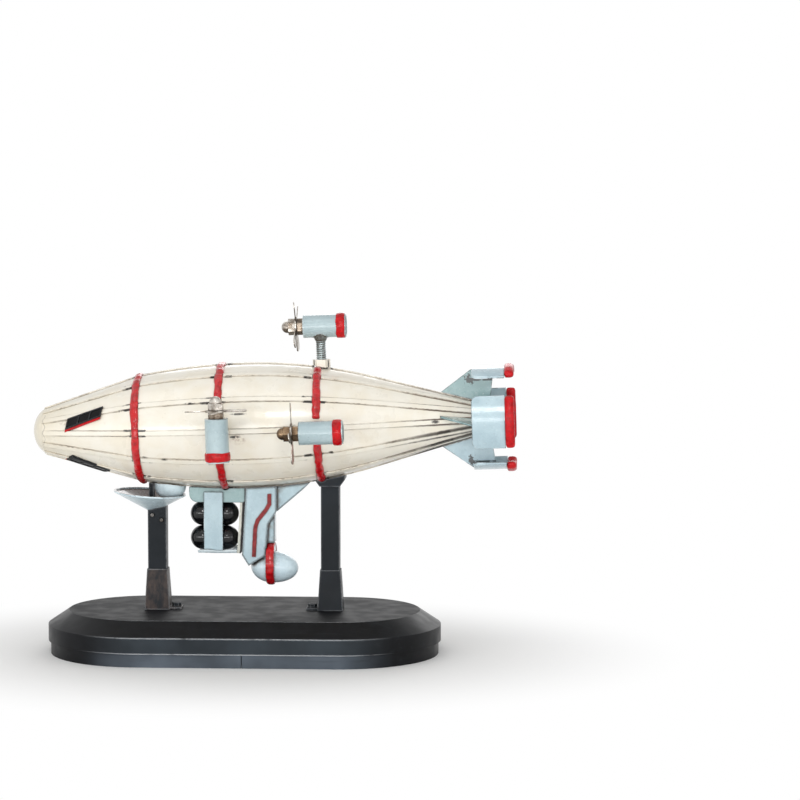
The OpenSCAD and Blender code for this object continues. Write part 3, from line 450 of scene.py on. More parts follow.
def hull_enamel(name):
    """Cream enamel with hand-drawn dark lines beside the battens, darker and wider on the underside of the
    tail partly as painted shade, dashes at the bands, smudges, and painted shade in its creases.
    """
    p = Paint(name)
    place = hull_place(p)
    u, angle, radius = place
    step = 2 * math.pi / BATTENS
    turns = p.math("ADD", p.math("DIVIDE", angle, step), 0.5)
    share = p.math("SUBTRACT", p.math("FRACT", turns), 0.5)
    off = p.times(p.math("ABSOLUTE", share), step, radius)
    line_at = BATTEN_W / 2 + 0.25
    line_half = 0.32
    waver = p.noise(0.09, 3)
    shake = p.math("MULTIPLY", p.math("SUBTRACT", p.noise(0.5, 2), 0.5), 0.5)
    near = p.math("ABSOLUTE", p.math("SUBTRACT", p.math("ADD", off, shake), line_at))
    breaks = p.ramp(p.noise(0.055, 4, 0.6), 0.36, 0.56)
    crowded = p.ramp(u, *LINES_CROWD)
    # Towards the underside of the tail the lines grow wider and darker, partly as painted shade
    below = p.ramp(angle, *LINES_BELOW)
    breaks = p.most(breaks, p.times(crowded, 0.85))
    half = p.math("ADD", line_half, p.times(crowded, p.ramp(below, 0, 1, 0.12, 0.95)))
    line = p.times(p.ramp(near, half, p.times(half, 0.3)), breaks, p.ramp(u, *LINES_FROM))

    dash_end = (6.5, 5.2)
    dash_spread = 14
    ends = []
    for at in (CAP_LEN, *BANDS.values()):
        gap = p.math("ABSOLUTE", p.math("SUBTRACT", u, at))
        gap = p.math("ADD", gap, p.times(p.math("SUBTRACT", p.noise(0.16, 1), 0.5), dash_spread))
        ends.append(p.ramp(gap, *dash_end))
    dash = p.times(p.ramp(near, 0.7, 0.35), p.most(*ends), p.ramp(u, *DASHES_FROM))
    dash = p.times(dash, p.ramp(p.noise(0.3, 2), 0.42, 0.52))
    dash = p.times(dash, p.ramp(p.noise(0.065, 2), 0.43, 0.5, 0.15, 1))

    seam_scallop = 2.6
    seam_behind = 0.4
    seam_at = p.math("ADD", p.times(p.math("ABSOLUTE", share), seam_scallop), CAP_LEN + seam_behind)
    seam = p.ramp(p.math("ABSOLUTE", p.math("SUBTRACT", u, seam_at)), 0.4, 0.1)
    seam = p.times(seam, p.ramp(p.noise(0.2, 2), 0.4, 0.6))

    ragged = p.ramp(p.noise(0.55, 5, 0.65), 0.44, 0.6)
    smudge = p.times(p.most(*[spot(p, place, m) for m in SMUDGES]), ragged)
    nick = p.ramp(p.noise(0.8, 3), 0.36, 0.46)
    chip = p.times(p.most(*[spot(p, place, m) for m in CHIPS]), nick)

    base = p.mix(p.ramp(waver, 0.35, 0.7), CREAM, CREAM_WARM)
    pale = p.mix(0.35, base, CREAM)
    base = p.mix(p.ramp(p.noise(0.02, 2), 0.4, 0.65), base, pale)
    base = p.mix(p.ramp(u, *NOSE_DARK, 0, 0.7), base, CREAM_NOSE)
    specks = p.times(p.ramp(p.noise(1.3, 2), 0.7, 0.78), 0.5)
    base = p.mix(specks, base, CREAM_SPECK)
    # Painted shade: the cream turns brown in creases and under overhangs
    base = p.mix(p.times(p.crease(1.6), 0.45), base, CREAM_CREASE_SHADE)
    base = p.mix(p.times(seam, 0.55), base, CREAM_SEAM)
    strength = p.most(p.ramp(waver, 0.3, 0.65, 0.25, 0.75), p.times(crowded, 0.95))
    # Lines go from brown to near black on the underside of the tail, partly painted shade
    base = p.mix(p.times(line, strength), base, p.mix(p.times(crowded, below), BROWN, SOOT))
    base = p.mix(p.times(smudge, 0.55), base, CREAM_SMUDGE)
    base = p.mix(p.most(p.times(dash, 0.95), p.times(chip, 0.95)), base, SOOT)
    marks = p.most(line, dash, chip)
    rough = p.math("ADD", p.ramp(p.noise(0.11, 3), 0.3, 0.7, 0.26, 0.4), p.times(marks, 0.25))
    bumps = [(p.noise(0.045, 2), 0.25), (p.noise(0.9, 3), 0.02), (marks, -0.1)]
    return p.finish(base, rough, bumps, bevel=0.3, coat=0.6)


def red_enamel(name, tones=RED_TONES, coat=0.0, lump=0.08):
    """Thick red enamel with painted shade in its creases; lump is how deep its bumps are."""
    p = Paint(name)
    base = p.mix(p.ramp(p.noise(0.35, 4, 0.6), 0.4, 0.7), *tones)
    rub = p.times(p.ramp(p.noise(0.9, 4, 0.65), 0.58, 0.7), 0.1)
    base = p.mix(rub, base, RED_PALE)
    # Painted shade: the red darkens in the creases between its lumps
    base = p.mix(p.times(p.crease(1.4), 0.75), base, RED_CREASE_SHADE)
    specks = p.ramp(p.noise(1.8, 2), 0.76, 0.8)
    base = p.mix(p.times(specks, 0.4), base, SOOT)
    rough = p.ramp(p.noise(0.7, 3), 0.3, 0.7, 0.2, 0.36)
    bumps = [(p.noise(0.6, 2), lump), (p.noise(2.4, 2), 0.02)]
    return p.finish(base, rough, bumps, bevel=0.2, coat=coat, specular=0.22)


def fin_shadow_and_blots(paint):
    """Share of dark marks on the top and bottom fins: a broken line short of the shroud that is a painted
    shadow of its edge, and ink blots before it.
    """
    u, angle, radius = hull_place(paint)
    line_r = paint.ramp(angle, *FIN_MARKS_TURN, *FIN_MARKS_R)
    off = paint.math("SUBTRACT", radius, line_r)
    behind = paint.math("SUBTRACT", u, FIN_MARKS_AT)
    near = paint.ramp(paint.math("ABSOLUTE", off), 0.8, 0.35)
    line = paint.times(near, paint.ramp(behind, -2.5, -0.5))
    line = paint.times(line, paint.ramp(paint.noise(0.25, 3), 0.36, 0.5))
    away = paint.times(paint.length(off, behind), 0.09)
    blot = paint.ramp(paint.math("SUBTRACT", paint.noise(0.9, 3), away), 0.3, 0.35)
    return paint.times(paint.most(line, blot), 0.9)


def blue_enamel(
    name, tones=BLUE_TONES, brown_inside=False, inked=None, blots=False, stained=False, grime_and_shade_share=0.9,
):
    """Pale grey-blue enamel darkened in its creases, partly by dirt and partly as painted shade, with dark
    ink lines or pale painted highlights along its edges.

    inked is the share of dark lines along the edges, which without it comes and goes.
    Its inside option browns the faces that look up, and stained browns the wider creases.
    """
    p = Paint(name)
    base = p.mix(p.ramp(p.noise(0.08, 4, 0.6), 0.3, 0.7), *tones)
    base = p.mix(p.times(p.ramp(p.noise(0.3, 5, 0.7), 0.5, 0.7), 0.25), base, BLUE_DARK)
    pale = p.ramp(p.noise(1.1, 2), 0.68, 0.75)
    base = p.mix(p.times(pale, 0.5), base, BLUE_SPECK)
    dots = p.ramp(p.noise(1.5, 2), 0.7, 0.77)
    base = p.mix(p.times(dots, 0.55), base, BLUE_DOT)
    if brown_inside:
        patchy = p.ramp(p.noise(0.3, 4, 0.6), 0.2, 0.4, 0.6, 1)
        inside = p.times(p.ramp(p.upward(), 0.05, 0.3), patchy)
        base = p.mix(inside, base, INSIDE_BROWN)
    if blots:
        # Painted shadow of the shroud's edge on the fin, with ink blots before it
        base = p.mix(fin_shadow_and_blots(p), base, SOOT)
    line = p.edge(2.2, 0.94) if inked else p.edge(1.1)
    if inked is None:
        inked = p.ramp(p.noise(0.07, 3, 0.6), 0.46, 0.52)
    base = p.mix(p.times(line, inked, 0.9), base, INK)
    # Painted highlight: pale lines along the edges wherever they are not inked
    base = p.mix(p.times(line, p.math("SUBTRACT", 1, inked), 0.65), base, BLUE_EDGE_HIGHLIGHT)
    if stained:
        stain = p.times(p.crease(5, 0.4, 0.95), p.ramp(p.noise(0.25, 4, 0.6), 0.42, 0.6))
        base = p.mix(p.times(stain, 0.8), base, STAIN)
    # Dark in creases and under overhangs: partly dirt, partly painted shade
    grime_and_shade = p.times(p.crease(2.6, 0.35, 0.85), p.ramp(p.noise(0.2, 3), 0.3, 0.6, 0.6, 1))
    base = p.mix(p.times(grime_and_shade, grime_and_shade_share), base, SOOT)
    rough = p.math("ADD", p.ramp(p.noise(0.15, 3), 0.3, 0.7, 0.22, 0.36), p.times(grime_and_shade, 0.25))
    bumps = [(p.noise(0.09, 2), 0.12), (p.noise(1.1, 3), 0.02)]
    return p.finish(base, rough, bumps, bevel=0.3, coat=0.6)


def plate_enamel(name):
    """Dull cream paint on the rack's end plate, with painted shade in its creases, and black behind as
    painted shade for the dark gap there.
    """
    p = Paint(name)
    low = Vector(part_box("rack_end_plate")[0]) / MM
    x, _, z = p.split(p.mm)
    lean = p.times(p.math("SUBTRACT", z, low.z), math.tan(DUCT_LEAN))
    into = p.math("SUBTRACT", p.math("SUBTRACT", x, low.x), lean)
    into = p.math("ADD", into, p.times(p.math("SUBTRACT", p.noise(0.35, 3), 0.5), 0.7))
    base = p.mix(p.ramp(p.noise(0.3, 4, 0.6), 0.35, 0.7), *PLATE_TONES)
    base = p.mix(p.times(p.ramp(p.noise(1.1, 3, 0.6), 0.58, 0.7), 0.5), base, PLATE_WEAR)
    # Painted shade: brown in creases
    base = p.mix(p.times(p.crease(1.6), 0.6), base, BROWN)
    # Painted shade: the back of the plate turns black, standing for the dark gap behind it
    shade_from, shade_full = 0.62 * PLATE_T, 0.72 * PLATE_T
    base = p.mix(p.ramp(into, shade_from, shade_full), base, SOOT)
    rough = p.ramp(p.noise(0.3, 3), 0.3, 0.7, 0.34, 0.5)
    bumps = [(p.noise(0.2, 2), 0.2), (p.noise(1.4, 3), 0.04)]
    return p.finish(base, rough, bumps, bevel=0.2)


def black_paint(name, scuffed=False, side=BLACK_SIDE_SHEEN, rub_and_shine=0.9, dark_ends=False):
    """Near-black paint on steel, paler on upright faces as a painted reflection, and bright along its
    edges, partly wear and partly painted highlight.

    With dark_ends the painted reflection and the bright edges are kept to the middle of the base.
    """
    p = Paint(name)
    sheen_and_rub = 1.0
    if dark_ends:
        sheen_and_rub = p.ramp(p.math("ABSOLUTE", p.split(p.mm)[0]), *SHEEN_SPAN, 1, 0)
    base = p.mix(p.ramp(p.noise(0.05, 4, 0.6), 0.35, 0.7), BLACK, BLACK_SOFT)
    up = p.math("ABSOLUTE", p.upward())
    cloud = p.ramp(p.noise(0.03, 3), 0.3, 0.7, 0.5, 1)
    # Painted reflection: upright faces turn paler
    base = p.mix(p.times(p.ramp(up, 0.5, 0.1), cloud, sheen_and_rub), base, side)
    if scuffed:
        scrape = p.ramp(p.noise(0.3, 5, 0.7, p.stretch((1, 1, 0.45))), 0.3, 0.75)
        base = p.mix(p.times(scrape, 0.55), base, BLACK_SCRAPE)
    streak = p.noise(0.35, 4, 0.6, p.stretch((0.06, 1, 1)))
    base = p.mix(p.times(p.ramp(streak, 0.55, 0.8), 0.4), base, BLACK_STREAK)
    dust = p.ramp(p.noise(1.6, 2), 0.73, 0.79)
    base = p.mix(p.times(dust, 0.3), base, BLACK_DUST)
    # Bright edges: partly wear and partly painted highlight
    rub = p.times(p.edge(1.2, 0.9), p.ramp(p.noise(0.12, 5, 0.65), 0.28, 0.46), sheen_and_rub)
    base = p.mix(p.times(rub, rub_and_shine), base, BLACK_RUB_SHINE)
    dusty = p.ramp(up, 0.85, 0.97, 0, 0.24)
    rough = p.math("ADD", p.ramp(p.noise(0.1, 3), 0.3, 0.7, 0.3, 0.42), dusty)
    bumps = [(p.noise(0.04, 2), 0.5), (p.noise(1.2, 3), 0.03), (rub, -0.06)]
    return p.finish(base, rough, bumps, bevel=0.5, specular=0.13)


def black_gloss(name, specular):
    """Smooth black lacquer or dark glass with faint scuffs."""
    p = Paint(name)
    base = p.mix(p.ramp(p.noise(0.2, 4, 0.6), 0.4, 0.7), *GLOSS_TONES)
    scuffs = p.ramp(p.noise(0.8, 4, 0.7, p.stretch((0.3, 1, 1.6))), 0.62, 0.72)
    base = p.mix(p.times(scuffs, 0.4), base, GLOSS_SCUFF)
    rough = p.math("ADD", p.ramp(p.noise(0.3, 3), 0.3, 0.7, 0.06, 0.16), p.times(scuffs, 0.2))
    return p.finish(base, rough, [(p.noise(0.5, 2), 0.1)], bevel=0.15, specular=specular)


def bare_metal(name, tones=NICKEL_TONES, bronze_aft=False):
    """Tarnished metal, with painted shade on its downward faces, and with bronze_aft a bronze on the rear
    side nacelles.
    """
    p = Paint(name)
    cloud = p.ramp(p.noise(0.22, 5, 0.65), 0.35, 0.7)
    base = p.mix(cloud, *tones)
    if bronze_aft:
        x, _, z = p.split(p.mm)
        aft = p.times(p.math("GREATER_THAN", x, BRONZE_AFT_OF), p.math("LESS_THAN", z, BRONZE_BELOW))
        base = p.mix(aft, base, p.mix(cloud, *BRASS_TONES))
    # Painted shade: faces that look down turn dark brown
    base = p.mix(p.ramp(p.upward(), 0.15, -0.6, 0, 0.75), base, METAL_UNDER_SHADE)
    base = p.mix(p.times(p.crease(1.2), 0.85), base, METAL_CREASE)
    stain = p.ramp(p.noise(0.7, 4, 0.7), 0.54, 0.66)
    base = p.mix(p.times(stain, 0.55), base, METAL_STAIN)
    rough = p.math("ADD", p.ramp(p.noise(0.4, 4), 0.3, 0.7, 0.2, 0.4), p.times(stain, 0.2))
    brush = p.noise(1.4, 3, 0.6, p.stretch((1, 1, 0.15)))
    return p.finish(base, rough, [(p.noise(0.35, 3), 0.18), (brush, 0.03)], bevel=0.2, metal=1.0)


FINISHES = {
    "cream_enamel": hull_enamel("cream_enamel_paint"),
    "red_enamel": red_enamel("red_enamel_paint"),
    "red_glossy": red_enamel("red_glossy_paint", coat=0.6, lump=0.35),
    "red_faded": red_enamel("red_line_paint", RED_FADED_TONES),
    # The next three finishes paint the pieces under the hull in the paler copy of the grey-blue, as
    # painted light
    "brown_inside": blue_enamel(
        "grey_blue_outside_brown_inside", LIT_TONES, brown_inside=True, grime_and_shade_share=0.45,
    ),
    "grey_blue_lit_clean": blue_enamel("grey_blue_lit_clean_paint", LIT_TONES, inked=0.0, grime_and_shade_share=0.2),
    "grey_blue_lit": blue_enamel("grey_blue_lit_paint", LIT_TONES, stained=True),
    "grey_blue_shaded": blue_enamel("grey_blue_shaded_paint", SHADED_TONES),
    "grey_blue_enamel": blue_enamel("grey_blue_enamel_paint"),
    "grey_blue_nacelle": blue_enamel("grey_blue_nacelle_paint", NACELLE_TONES),
    "grey_blue_inked": blue_enamel("grey_blue_inked_paint", inked=1.0, stained=True),
    "grey_blue_blotted": blue_enamel("grey_blue_blotted_paint", blots=True),
    "shaded_blotted": blue_enamel("grey_blue_shaded_blotted_paint", SHADED_TONES, blots=True),
    "plate_enamel": plate_enamel("end_plate_paint"),
    "black_paint": black_paint("black_satin_paint"),
    "black_scuffed": black_paint("black_scuffed_paint", scuffed=True, rub_and_shine=0.25),
    "black_post": black_paint("black_post_paint", rub_and_shine=0.2),
    "black_skirt": black_paint("black_skirt_paint", side=SKIRT_SIDE_SHEEN, rub_and_shine=0.0, dark_ends=True),
    "black_pan": black_paint("black_pan_paint", side=PAN_SIDE_SHEEN, dark_ends=True),
    "black_trim": black_paint("black_trim_paint", side=BLACK, rub_and_shine=0.06),
    "black_gloss": black_gloss("black_gloss_lacquer", 0.45),
    "black_glass": black_gloss("black_window_glass", 0.2),
    "nickel": bare_metal("tarnished_nickel"),
    "pylon_metal": bare_metal("tarnished_pylons", PYLON_TONES),
    "screw_metal": bare_metal("blackened_screws", SCREW_TONES),
    "bronze": bare_metal("nickel_and_bronze", bronze_aft=True),
    "spacer_metal": bare_metal("dark_spacers", SPACER_TONES, bronze_aft=True),
}

# CAD nodes by finish; every other node is grey-blue
FINISH_OF = {
    "cream_enamel": [
        "nose_cap", "hull_nose", "hull_front", "hull_rear", "hull_tail", "tail_plug", "battens_nose",
        "battens_front", "battens_rear", "battens_tail", "pylon_collars",
    ],
    "red_enamel": ["window_sills"],
    "red_faded": ["duct_trim"],
    "brown_inside": ["scoop_tray"],
    "grey_blue_inked": ["duct_leg", "duct_gusset"],
    "grey_blue_nacelle": ["nacelle_" + n[0] for n in NACELLES],
    "grey_blue_blotted": ["fin_bottom"],
    # The shaded finishes paint shade on the top fin, the side fins and the rack's pan
    "shaded_blotted": ["fin_top"],
    "grey_blue_lit": ["pod"],
    "grey_blue_lit_clean": ["turret_bowl"],
    "grey_blue_shaded": ["fin_port", "fin_starboard", "rack_pan"],
    "plate_enamel": ["rack_end_plate"],
    "black_paint": ["base_bottom"],
    "black_post": ["post_front", "post_rear", "foot_rear", "foot_fasteners", "saddle"],
    "black_pan": ["base_pan"],
    "black_trim": ["window_frames"],
    "black_glass": ["window_panes"],
    "black_skirt": ["base_skirt"],
    "black_scuffed": ["foot_front"],
    "black_gloss": ["rack_balls"],
    "screw_metal": ["post_screws"],
    "nickel": ["prop_studs"] + ["propeller_" + n[0] for n in NACELLES],
    "bronze": ["cap_nuts"],
    "spacer_metal": ["spacer_nuts"],
}
finish_by_node = {node: finish for finish, listed in FINISH_OF.items() for node in listed}

for name, obj in nodes.items():
    obj.data.materials.clear()
    obj.data.materials.append(FINISHES[finish_by_node.get(name, "grey_blue_enamel")])


# Pieces made here: lumpy red beads, rims and rings, threaded studs, and the rack's thin tray

def make_piece(name, verts, faces, slot, replaced, sharp=SMOOTH_ANGLE, finish=None):
    """Adds a mesh given in millimetres to the body airship, in place of the nodes it replaces."""
    mesh = bpy.data.meshes.new(name)
    mesh.from_pydata([Vector(v) * MM for v in verts], [], faces)
    mesh.validate()
    mesh.polygons.foreach_set("use_smooth", [True] * len(mesh.polygons))
    mesh.set_sharp_from_angle(angle=sharp)
    mesh.materials.append(FINISHES[finish or slot])
    obj = bpy.data.objects.new(name, mesh)
    bpy.context.scene.collection.objects.link(obj)
    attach(obj, "airship")
    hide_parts(*replaced)


def join_rings(verts, faces, rings, closed):
    """Adds rings of points as a tube: closed on itself, or with flat ends."""
    first = len(verts)
    count = len(rings[0])
    for ring in rings:
        verts.extend(ring)
    spans = len(rings) if closed else len(rings) - 1
    for i in range(spans):
        a = first + i * count
        b = first + (i + 1) % len(rings) * count
        for k in range(count):
            after = (k + 1) % count
            faces.append((a + k, a + after, b + after, b + k))
    if not closed:
        faces.append(tuple(first + k for k in reversed(range(count))))
        last = first + (len(rings) - 1) * count
        faces.append(tuple(last + k for k in range(count)))


def round_end(s, total, reach):
    """Share of the full section near the ends of a strip: 1 in the middle, small at the tips."""
    least = 0.12
    t = min(s, total - s) / reach
    if t >= 1:
        return 1
    return max(least, math.sqrt(1 - (1 - t) ** 2))


def around(place, station, r, angle):
    """A point at a station and radius, at an angle from the top towards port."""
    return place @ Vector((station, -r * math.sin(angle), r * math.cos(angle)))


def bead_rings(place, base_r, at, width, height, start, stop, seed, closed, waver=1.0):
    """A lumpy half-round bead laid round a body whose radius at a station is base_r(station)."""
    sides = 10
    pitch = 0.55
    end_reach = 1.6
    end_width = 0.6
    bed, root = 0.05, 0.3
    fullness = 0.8
    sway, spread, rise, lumps = 0.42, 0.2, 0.3, 0.16
    fewest = 8
    length = base_r(at) * (stop - start)
    count = max(fewest, round(length / pitch))
    rings = []
    for i in range(count if closed else count + 1):
        angle = start + (stop - start) * i / count
        spot_at = around(Matrix(), at, base_r(at), angle)
        tip = 1 if closed else round_end(length * i / count, length, end_reach)
        shift = sway * waver * wobble(spot_at, 0.16, seed)
        wide = width * (1 + spread * waver * wobble(spot_at, 0.33, seed + 1))
        wide *= end_width + (1 - end_width) * tip
        high = height * (1 + rise * wobble(spot_at, 0.42, seed + 2)) * tip
        ring = []
        for k in range(sides + 1):
            bow = math.pi * k / sides
            lump = 1 + lumps * wobble(spot_at + Vector((k * 0.9, 0, 0)), 0.7, seed + 3)
            u = at + shift - wide / 2 * math.cos(bow)
            r = base_r(u) + high * lump * math.sin(bow) ** fullness - bed
            ring.append(around(place, u, r, angle))
        for share in (0.5, -0.5):
            u = at + shift + wide * share
            ring.append(around(place, u, base_r(u) - root, angle))
        rings.append(ring)
    return rings


def make_band(node, seed):
    """A band as a bead round the hull, cut where the pylons' collars stand on it."""
    at = BANDS[node]
    collar_gap = 0.5
    reach = (COLLAR_R + collar_gap) / (skin_r(at) + BATTEN_H)
    stops = sorted(math.radians(n[2]) for n in NACELLES if n[1] == node)
    verts, faces = [], []
    if stops:
        for i, stop in enumerate(stops):
            start = stop + reach
            end = (stops[i + 1] if i + 1 < len(stops) else stops[0] + 2 * math.pi) - reach
            rings = bead_rings(HULL_FRAME, skin_r, at, BAND_W, BAND_H, start, end, seed + i, False)
            join_rings(verts, faces, rings, False)
    else:
        rings = bead_rings(HULL_FRAME, skin_r, at, BAND_W, BAND_H, 0, 2 * math.pi, seed, True)
        join_rings(verts, faces, rings, True)
    make_piece(node + "_bead", verts, faces, "red_enamel", [node], finish="red_glossy")


def make_pod_ring():
    """The pod's ring as a bead round its plate."""
    low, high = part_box("pod_ring")
    middle = (Vector(low) + Vector(high)) / 2 / MM
    rings = bead_rings(
        Matrix.Translation(middle), lambda u: POD_PLATE_R, 0, POD_RING_W, POD_RING_H,
        0, 2 * math.pi, POD_SEED, True, waver=0.3,
    )
    verts, faces = [], []
    join_rings(verts, faces, rings, True)
    make_piece("pod_ring_bead", verts, faces, "red_enamel", ["pod_ring"], finish="red_glossy")


def make_tray_sheet():
    """The rack's tray as a thin hand-bent sheet, flat under the balls, with a wavy lip past the straps."""
    low, high = (Vector(corner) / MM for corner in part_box("rack_tray"))
    half = (high.y - low.y) / 2
    steps, sides = 48, 30
    thick = 0.6
    clear = 0.03
    front_reach, front_tuck = 5, 2.2
    lip_w, lip_h = 1.3 * TRAY_LIP, 1.5
    lip_lean = 0.03
    wave_mean, wave_by = 0.75, 0.5
    sag_mean, sag_by = 0.25, 0.25
    top, under = [], []
    for i in range(steps + 1):
        x = low.x + (high.x - low.x) * i / steps
        front = round_end(x - low.x, 2 * (high.x - low.x), front_reach)
        for k in range(sides + 1):
            side = 2 * k / sides - 1
            y = side * (half - (1 - front) * front_tuck)
            lip = min(1, max(0, abs(side) * half - half + lip_w) / lip_w)
            wave = wave_mean + wave_by * wobble((x, 6 * math.copysign(1, side), 0), 0.16, TRAY_SEED)
            sag = sag_mean + sag_by * wobble((x, 0, 0), 0.14, TRAY_SEED + 2)
            z = high.z - clear - sag + lip * lip * lip_h * wave
            top.append((x, y, z))
            under.append((x, y * (1 - lip_lean * lip), z - thick))
    row = sides + 1
    count = len(top)
    faces = []
    for i in range(steps):
        for k in range(sides):
            a, b = i * row + k, (i + 1) * row + k
            faces.append((a, b, b + 1, a + 1))
            faces.append((count + a, count + a + 1, count + b + 1, count + b))
    rim = list(range(row))
    rim += [i * row + sides for i in range(1, steps + 1)]
    rim += [steps * row + k for k in range(sides - 1, -1, -1)]
    rim += [i * row for i in range(steps - 1, 0, -1)]
    for a, b in zip(rim, rim[1:] + rim[:1]):
        faces.append((a, b, count + b, count + a))
    make_piece(
        "rack_tray_sheet", top + under, faces, "grey_blue_enamel", ["rack_tray"],
        TRAY_SMOOTH, "grey_blue_lit_clean",
    )


# Section of a nacelle ring: along it as a share of its width,
# and out from the tube as a share of its height
RING_SECTION = [
    (-0.5, 0),
    (-0.47, 0.55),
    (-0.36, 0.95),
    (0, 1.1),
    (0.36, 0.95),
    (0.47, 0.55),
    (0.5, 0),
    (0, -0.2),
]


def make_nacelle_rings():
    """Painted rings, thick in the middle, with hand-painted wavering edges."""
    steps = 72
    sway, lumps = 0.34, 0.3
    verts, faces = [], []
    middle = NACELLE_LEN - NACELLE_FRONT - RING_LIP - RING_W / 2
    for number, n in enumerate(NACELLES):
        place = nacelle_frame(n[0])
        rings = []
        for i in range(steps):
            angle = 2 * math.pi * i / steps
            p = around(Matrix(), 0, NACELLE_R, angle)
            ring = []
            for along, high in RING_SECTION:
                waver = sway * wobble(p + Vector((along * 9, 0, 0)), 0.3, RING_SEED + number)
                lump = 1 + lumps * wobble(p + Vector((along * 3, 0, 0)), 0.4, RING_SEED + 10 + number)
                u = middle + along * RING_W + waver
                ring.append(around(place, u, NACELLE_R + RING_T * high * lump, angle))
            rings.append(ring)
        join_rings(verts, faces, rings, True)
    make_piece("nacelle_ring_paint", verts, faces, "red_enamel", ["nacelle_rings"])


def make_tail_rims():
    """Thick soft-looking rims with rounded ends behind the shrouds."""
    half = math.asin(SHROUD_W / 2 / SHROUD_R)
    mid_r = SHROUD_R - SHROUD_T / 2
    length = 2 * half * mid_r
    steps = 56
    sides = 20
    end_reach = 2.4
    end_width = 0.45
    front_square, back_square, face_square = 0.45, 0.8, 0.75
    spread, swell, dents = 0.05, 0.08, 0.05
    verts, faces = [], []
    for number, roll in enumerate(FIN_ROLLS):
        rings = []
        for i in range(steps + 1):
            angle = math.radians(roll) - half + 2 * half * i / steps
            p = around(Matrix(), RIM_AT, mid_r, angle)
            tip = round_end(length * i / steps, length, end_reach)
            wide = RIM_W * (end_width + (1 - end_width) * tip)
            wide *= 1 + spread * wobble(p, 0.25, RIM_SEED + number)
            thick = RIM_T * tip * (1 + swell * wobble(p, 0.3, RIM_SEED + 10 + number))
            ring = []
            for k in range(sides):
                a = 2 * math.pi * k / sides
                c, s = math.cos(a), math.sin(a)
                along = math.copysign(abs(c) ** (front_square if c < 0 else back_square), c)
                up = math.copysign(abs(s) ** face_square, s)
                dent = 1 + dents * wobble(p + Vector((c * 2, s * 2, 0)), 0.4, RIM_SEED + 20 + number)
                u = RIM_AT + RIM_W / 2 + along * wide / 2
                ring.append(around(HULL_FRAME, u, mid_r + up * thick / 2 * dent, angle))
            rings.append(ring)
        join_rings(verts, faces, rings, False)
    make_piece("tail_rim_paint", verts, faces, "red_enamel", ["tail_rims"], RIM_SMOOTH)


def make_pylons():
    """Threaded studs that flare out to the nacelles above them."""
    sides = 32
    thread = 1.15
    depth = 0.34
    layers_per_turn = 8
    foot = 0.3
    gap = 0.02
    thread_end = 1 / 3
    verts, faces = [], []
    for n in NACELLES:
        place = pylon_frame(n[0])
        turn = math.radians(n[3])
        low = skin_r(BANDS[n[1]] + PYLON_AFT) + BATTEN_H + foot
        flare_at = STAND_OFF - NACELLE_R - FLARE_H / 2
        top = flare_at + FLARE_H
        layers = round((top - low) / thread * layers_per_turn)
        rings = []
        for i in range(layers + 1):
            z = low + (top - low) * i / layers
            ring = []
            for k in range(sides):
                a = 2 * math.pi * k / sides
                phase = (z / thread - k / sides) % 1
                crest = 1 - abs(2 * phase - 1)
                r = STUD_R - depth * (1 - crest)
                if z > flare_at:
                    grow = (z - flare_at) / FLARE_H
                    r = r + (FLARE_R - STUD_R) * grow + depth * (1 - crest) * min(1, grow / thread_end)
                x, y = r * math.cos(a), r * math.sin(a)
                beside = abs(-x * math.sin(turn) + y * math.cos(turn))
                under = STAND_OFF - math.sqrt(NACELLE_R ** 2 - min(beside, NACELLE_R) ** 2) - gap
                ring.append(place @ Vector((x, y, min(z, under))))
            rings.append(ring)
        join_rings(verts, faces, rings, False)
    make_piece("pylon_studs", verts, faces, "nickel", ["pylons"], THREAD_SMOOTH, "pylon_metal")


for number, node in enumerate(BANDS):
    make_band(node, BAND_SEED + BAND_SEED_STEP * number)
make_pod_ring()
make_tray_sheet()
make_nacelle_rings()
make_tail_rims()
make_pylons()


# Floor and light, in metres and watts

FLOOR_HALF = 20.0
FLOOR_TONES = (colour(251, 251, 250), colour(248, 248, 247))
FLOOR_FADE = (0.085, 0.24)
FLOOR_DEPTH_WEIGHT = 1.6
LIGHT_AIM = Vector((0.02, 0, 0.11))
WORLD_LIGHT = 0.5
WORLD_SEEN = 1
SEEN_KINDS = ("Is Camera Ray", "Is Glossy Ray", "Is Transmission Ray")

# Lamp name, place, width and height, power
SOFTBOXES = [
    ("softbox_key", (0.15, -1.5, 0.8), (0.36, 0.3), 4.0),
    ("softbox_top", (-0.3, -0.5, 1.25), (1.2, 0.5), 2),
    ("softbox_low", (-0.1, -0.9, 0.15), (1.3, 0.11), 2.9),
    ("softbox_left", (-1.1, -1.0, 0.2), (0.6, 0.4), 1.1),
    ("softbox_right", (1.2, -1.0, 0.25), (0.6, 0.4), 1.4),
    ("softbox_back", (0.2, 1.6, 0.7), (1.2, 0.5), 4.5),
]


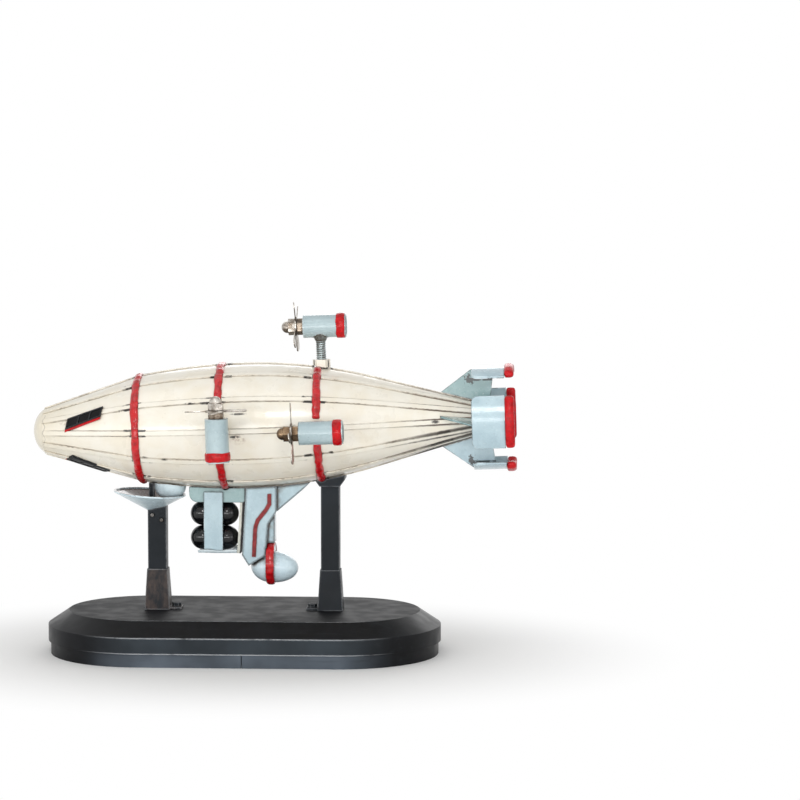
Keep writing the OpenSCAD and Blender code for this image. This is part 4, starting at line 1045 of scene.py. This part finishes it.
def make_floor():
    """A wide pale floor that keeps the object's shadow, and further out is as white as the background."""
    corners = [(x * FLOOR_HALF, y * FLOOR_HALF, 0) for x, y in ((-1, -1), (1, -1), (1, 1), (-1, 1))]
    mesh = bpy.data.meshes.new("floor")
    mesh.from_pydata(corners, [], [(0, 1, 2, 3)])
    p = Paint("floor_paper")
    base = p.mix(p.ramp(p.noise(0.002, 2), 0.3, 0.7), *FLOOR_TONES)
    p.finish(base, 0.9, bevel=0, specular=0.1)
    paths = p.node("ShaderNodeLightPath").outputs
    seen = p.most(*[paths[kind] for kind in SEEN_KINDS])
    x, y, _ = p.split(p.mm)
    away = p.math("SQRT", p.math("ADD", p.times(x, x), p.times(y, y, FLOOR_DEPTH_WEIGHT)))
    near, far = (distance / MM for distance in FLOOR_FADE)
    white = p.node("ShaderNodeEmission")
    white.inputs["Strength"].default_value = 1
    both = p.node("ShaderNodeMixShader")
    p.feed(both.inputs[0], p.times(seen, p.ramp(away, near, far)))
    p.feed(both.inputs[1], p.shader.outputs[0])
    p.feed(both.inputs[2], white.outputs[0])
    p.feed(p.tree.nodes["Material Output"].inputs["Surface"], both.outputs[0])
    mesh.materials.append(p.material)
    obj = bpy.data.objects.new("floor", mesh)
    bpy.context.scene.collection.objects.link(obj)


def make_softbox(name, at, size, power):
    """A soft rectangular lamp that looks at the middle of the object."""
    data = bpy.data.lights.new(name, "AREA")
    data.shape = "RECTANGLE"
    data.size, data.size_y = size
    data.energy = power
    obj = bpy.data.objects.new(name, data)
    obj.location = at
    aim = LIGHT_AIM - Vector(at)
    obj.rotation_euler = aim.to_track_quat("-Z", "Y").to_euler()
    bpy.context.scene.collection.objects.link(obj)


def make_world():
    """A white surrounding that is seen at full strength and lights at a lower one."""
    world = bpy.data.worlds.new("studio")
    bpy.context.scene.world = world
    world.use_nodes = True
    tree = world.node_tree
    back = tree.nodes["Background"]
    back.inputs["Color"].default_value = (1, 1, 1, 1)
    paths = tree.nodes.new("ShaderNodeLightPath").outputs
    seen = paths[SEEN_KINDS[0]]
    for kind in SEEN_KINDS[1:]:
        either = tree.nodes.new("ShaderNodeMath")
        either.operation = "MAXIMUM"
        tree.links.new(seen, either.inputs[0])
        tree.links.new(paths[kind], either.inputs[1])
        seen = either.outputs[0]
    level = tree.nodes.new("ShaderNodeMapRange")
    tree.links.new(seen, level.inputs["Value"])
    level.inputs["To Min"].default_value = WORLD_LIGHT
    level.inputs["To Max"].default_value = WORLD_SEEN
    tree.links.new(level.outputs[0], back.inputs["Strength"])


make_floor()
make_world()
for softbox in SOFTBOXES:
    make_softbox(*softbox)
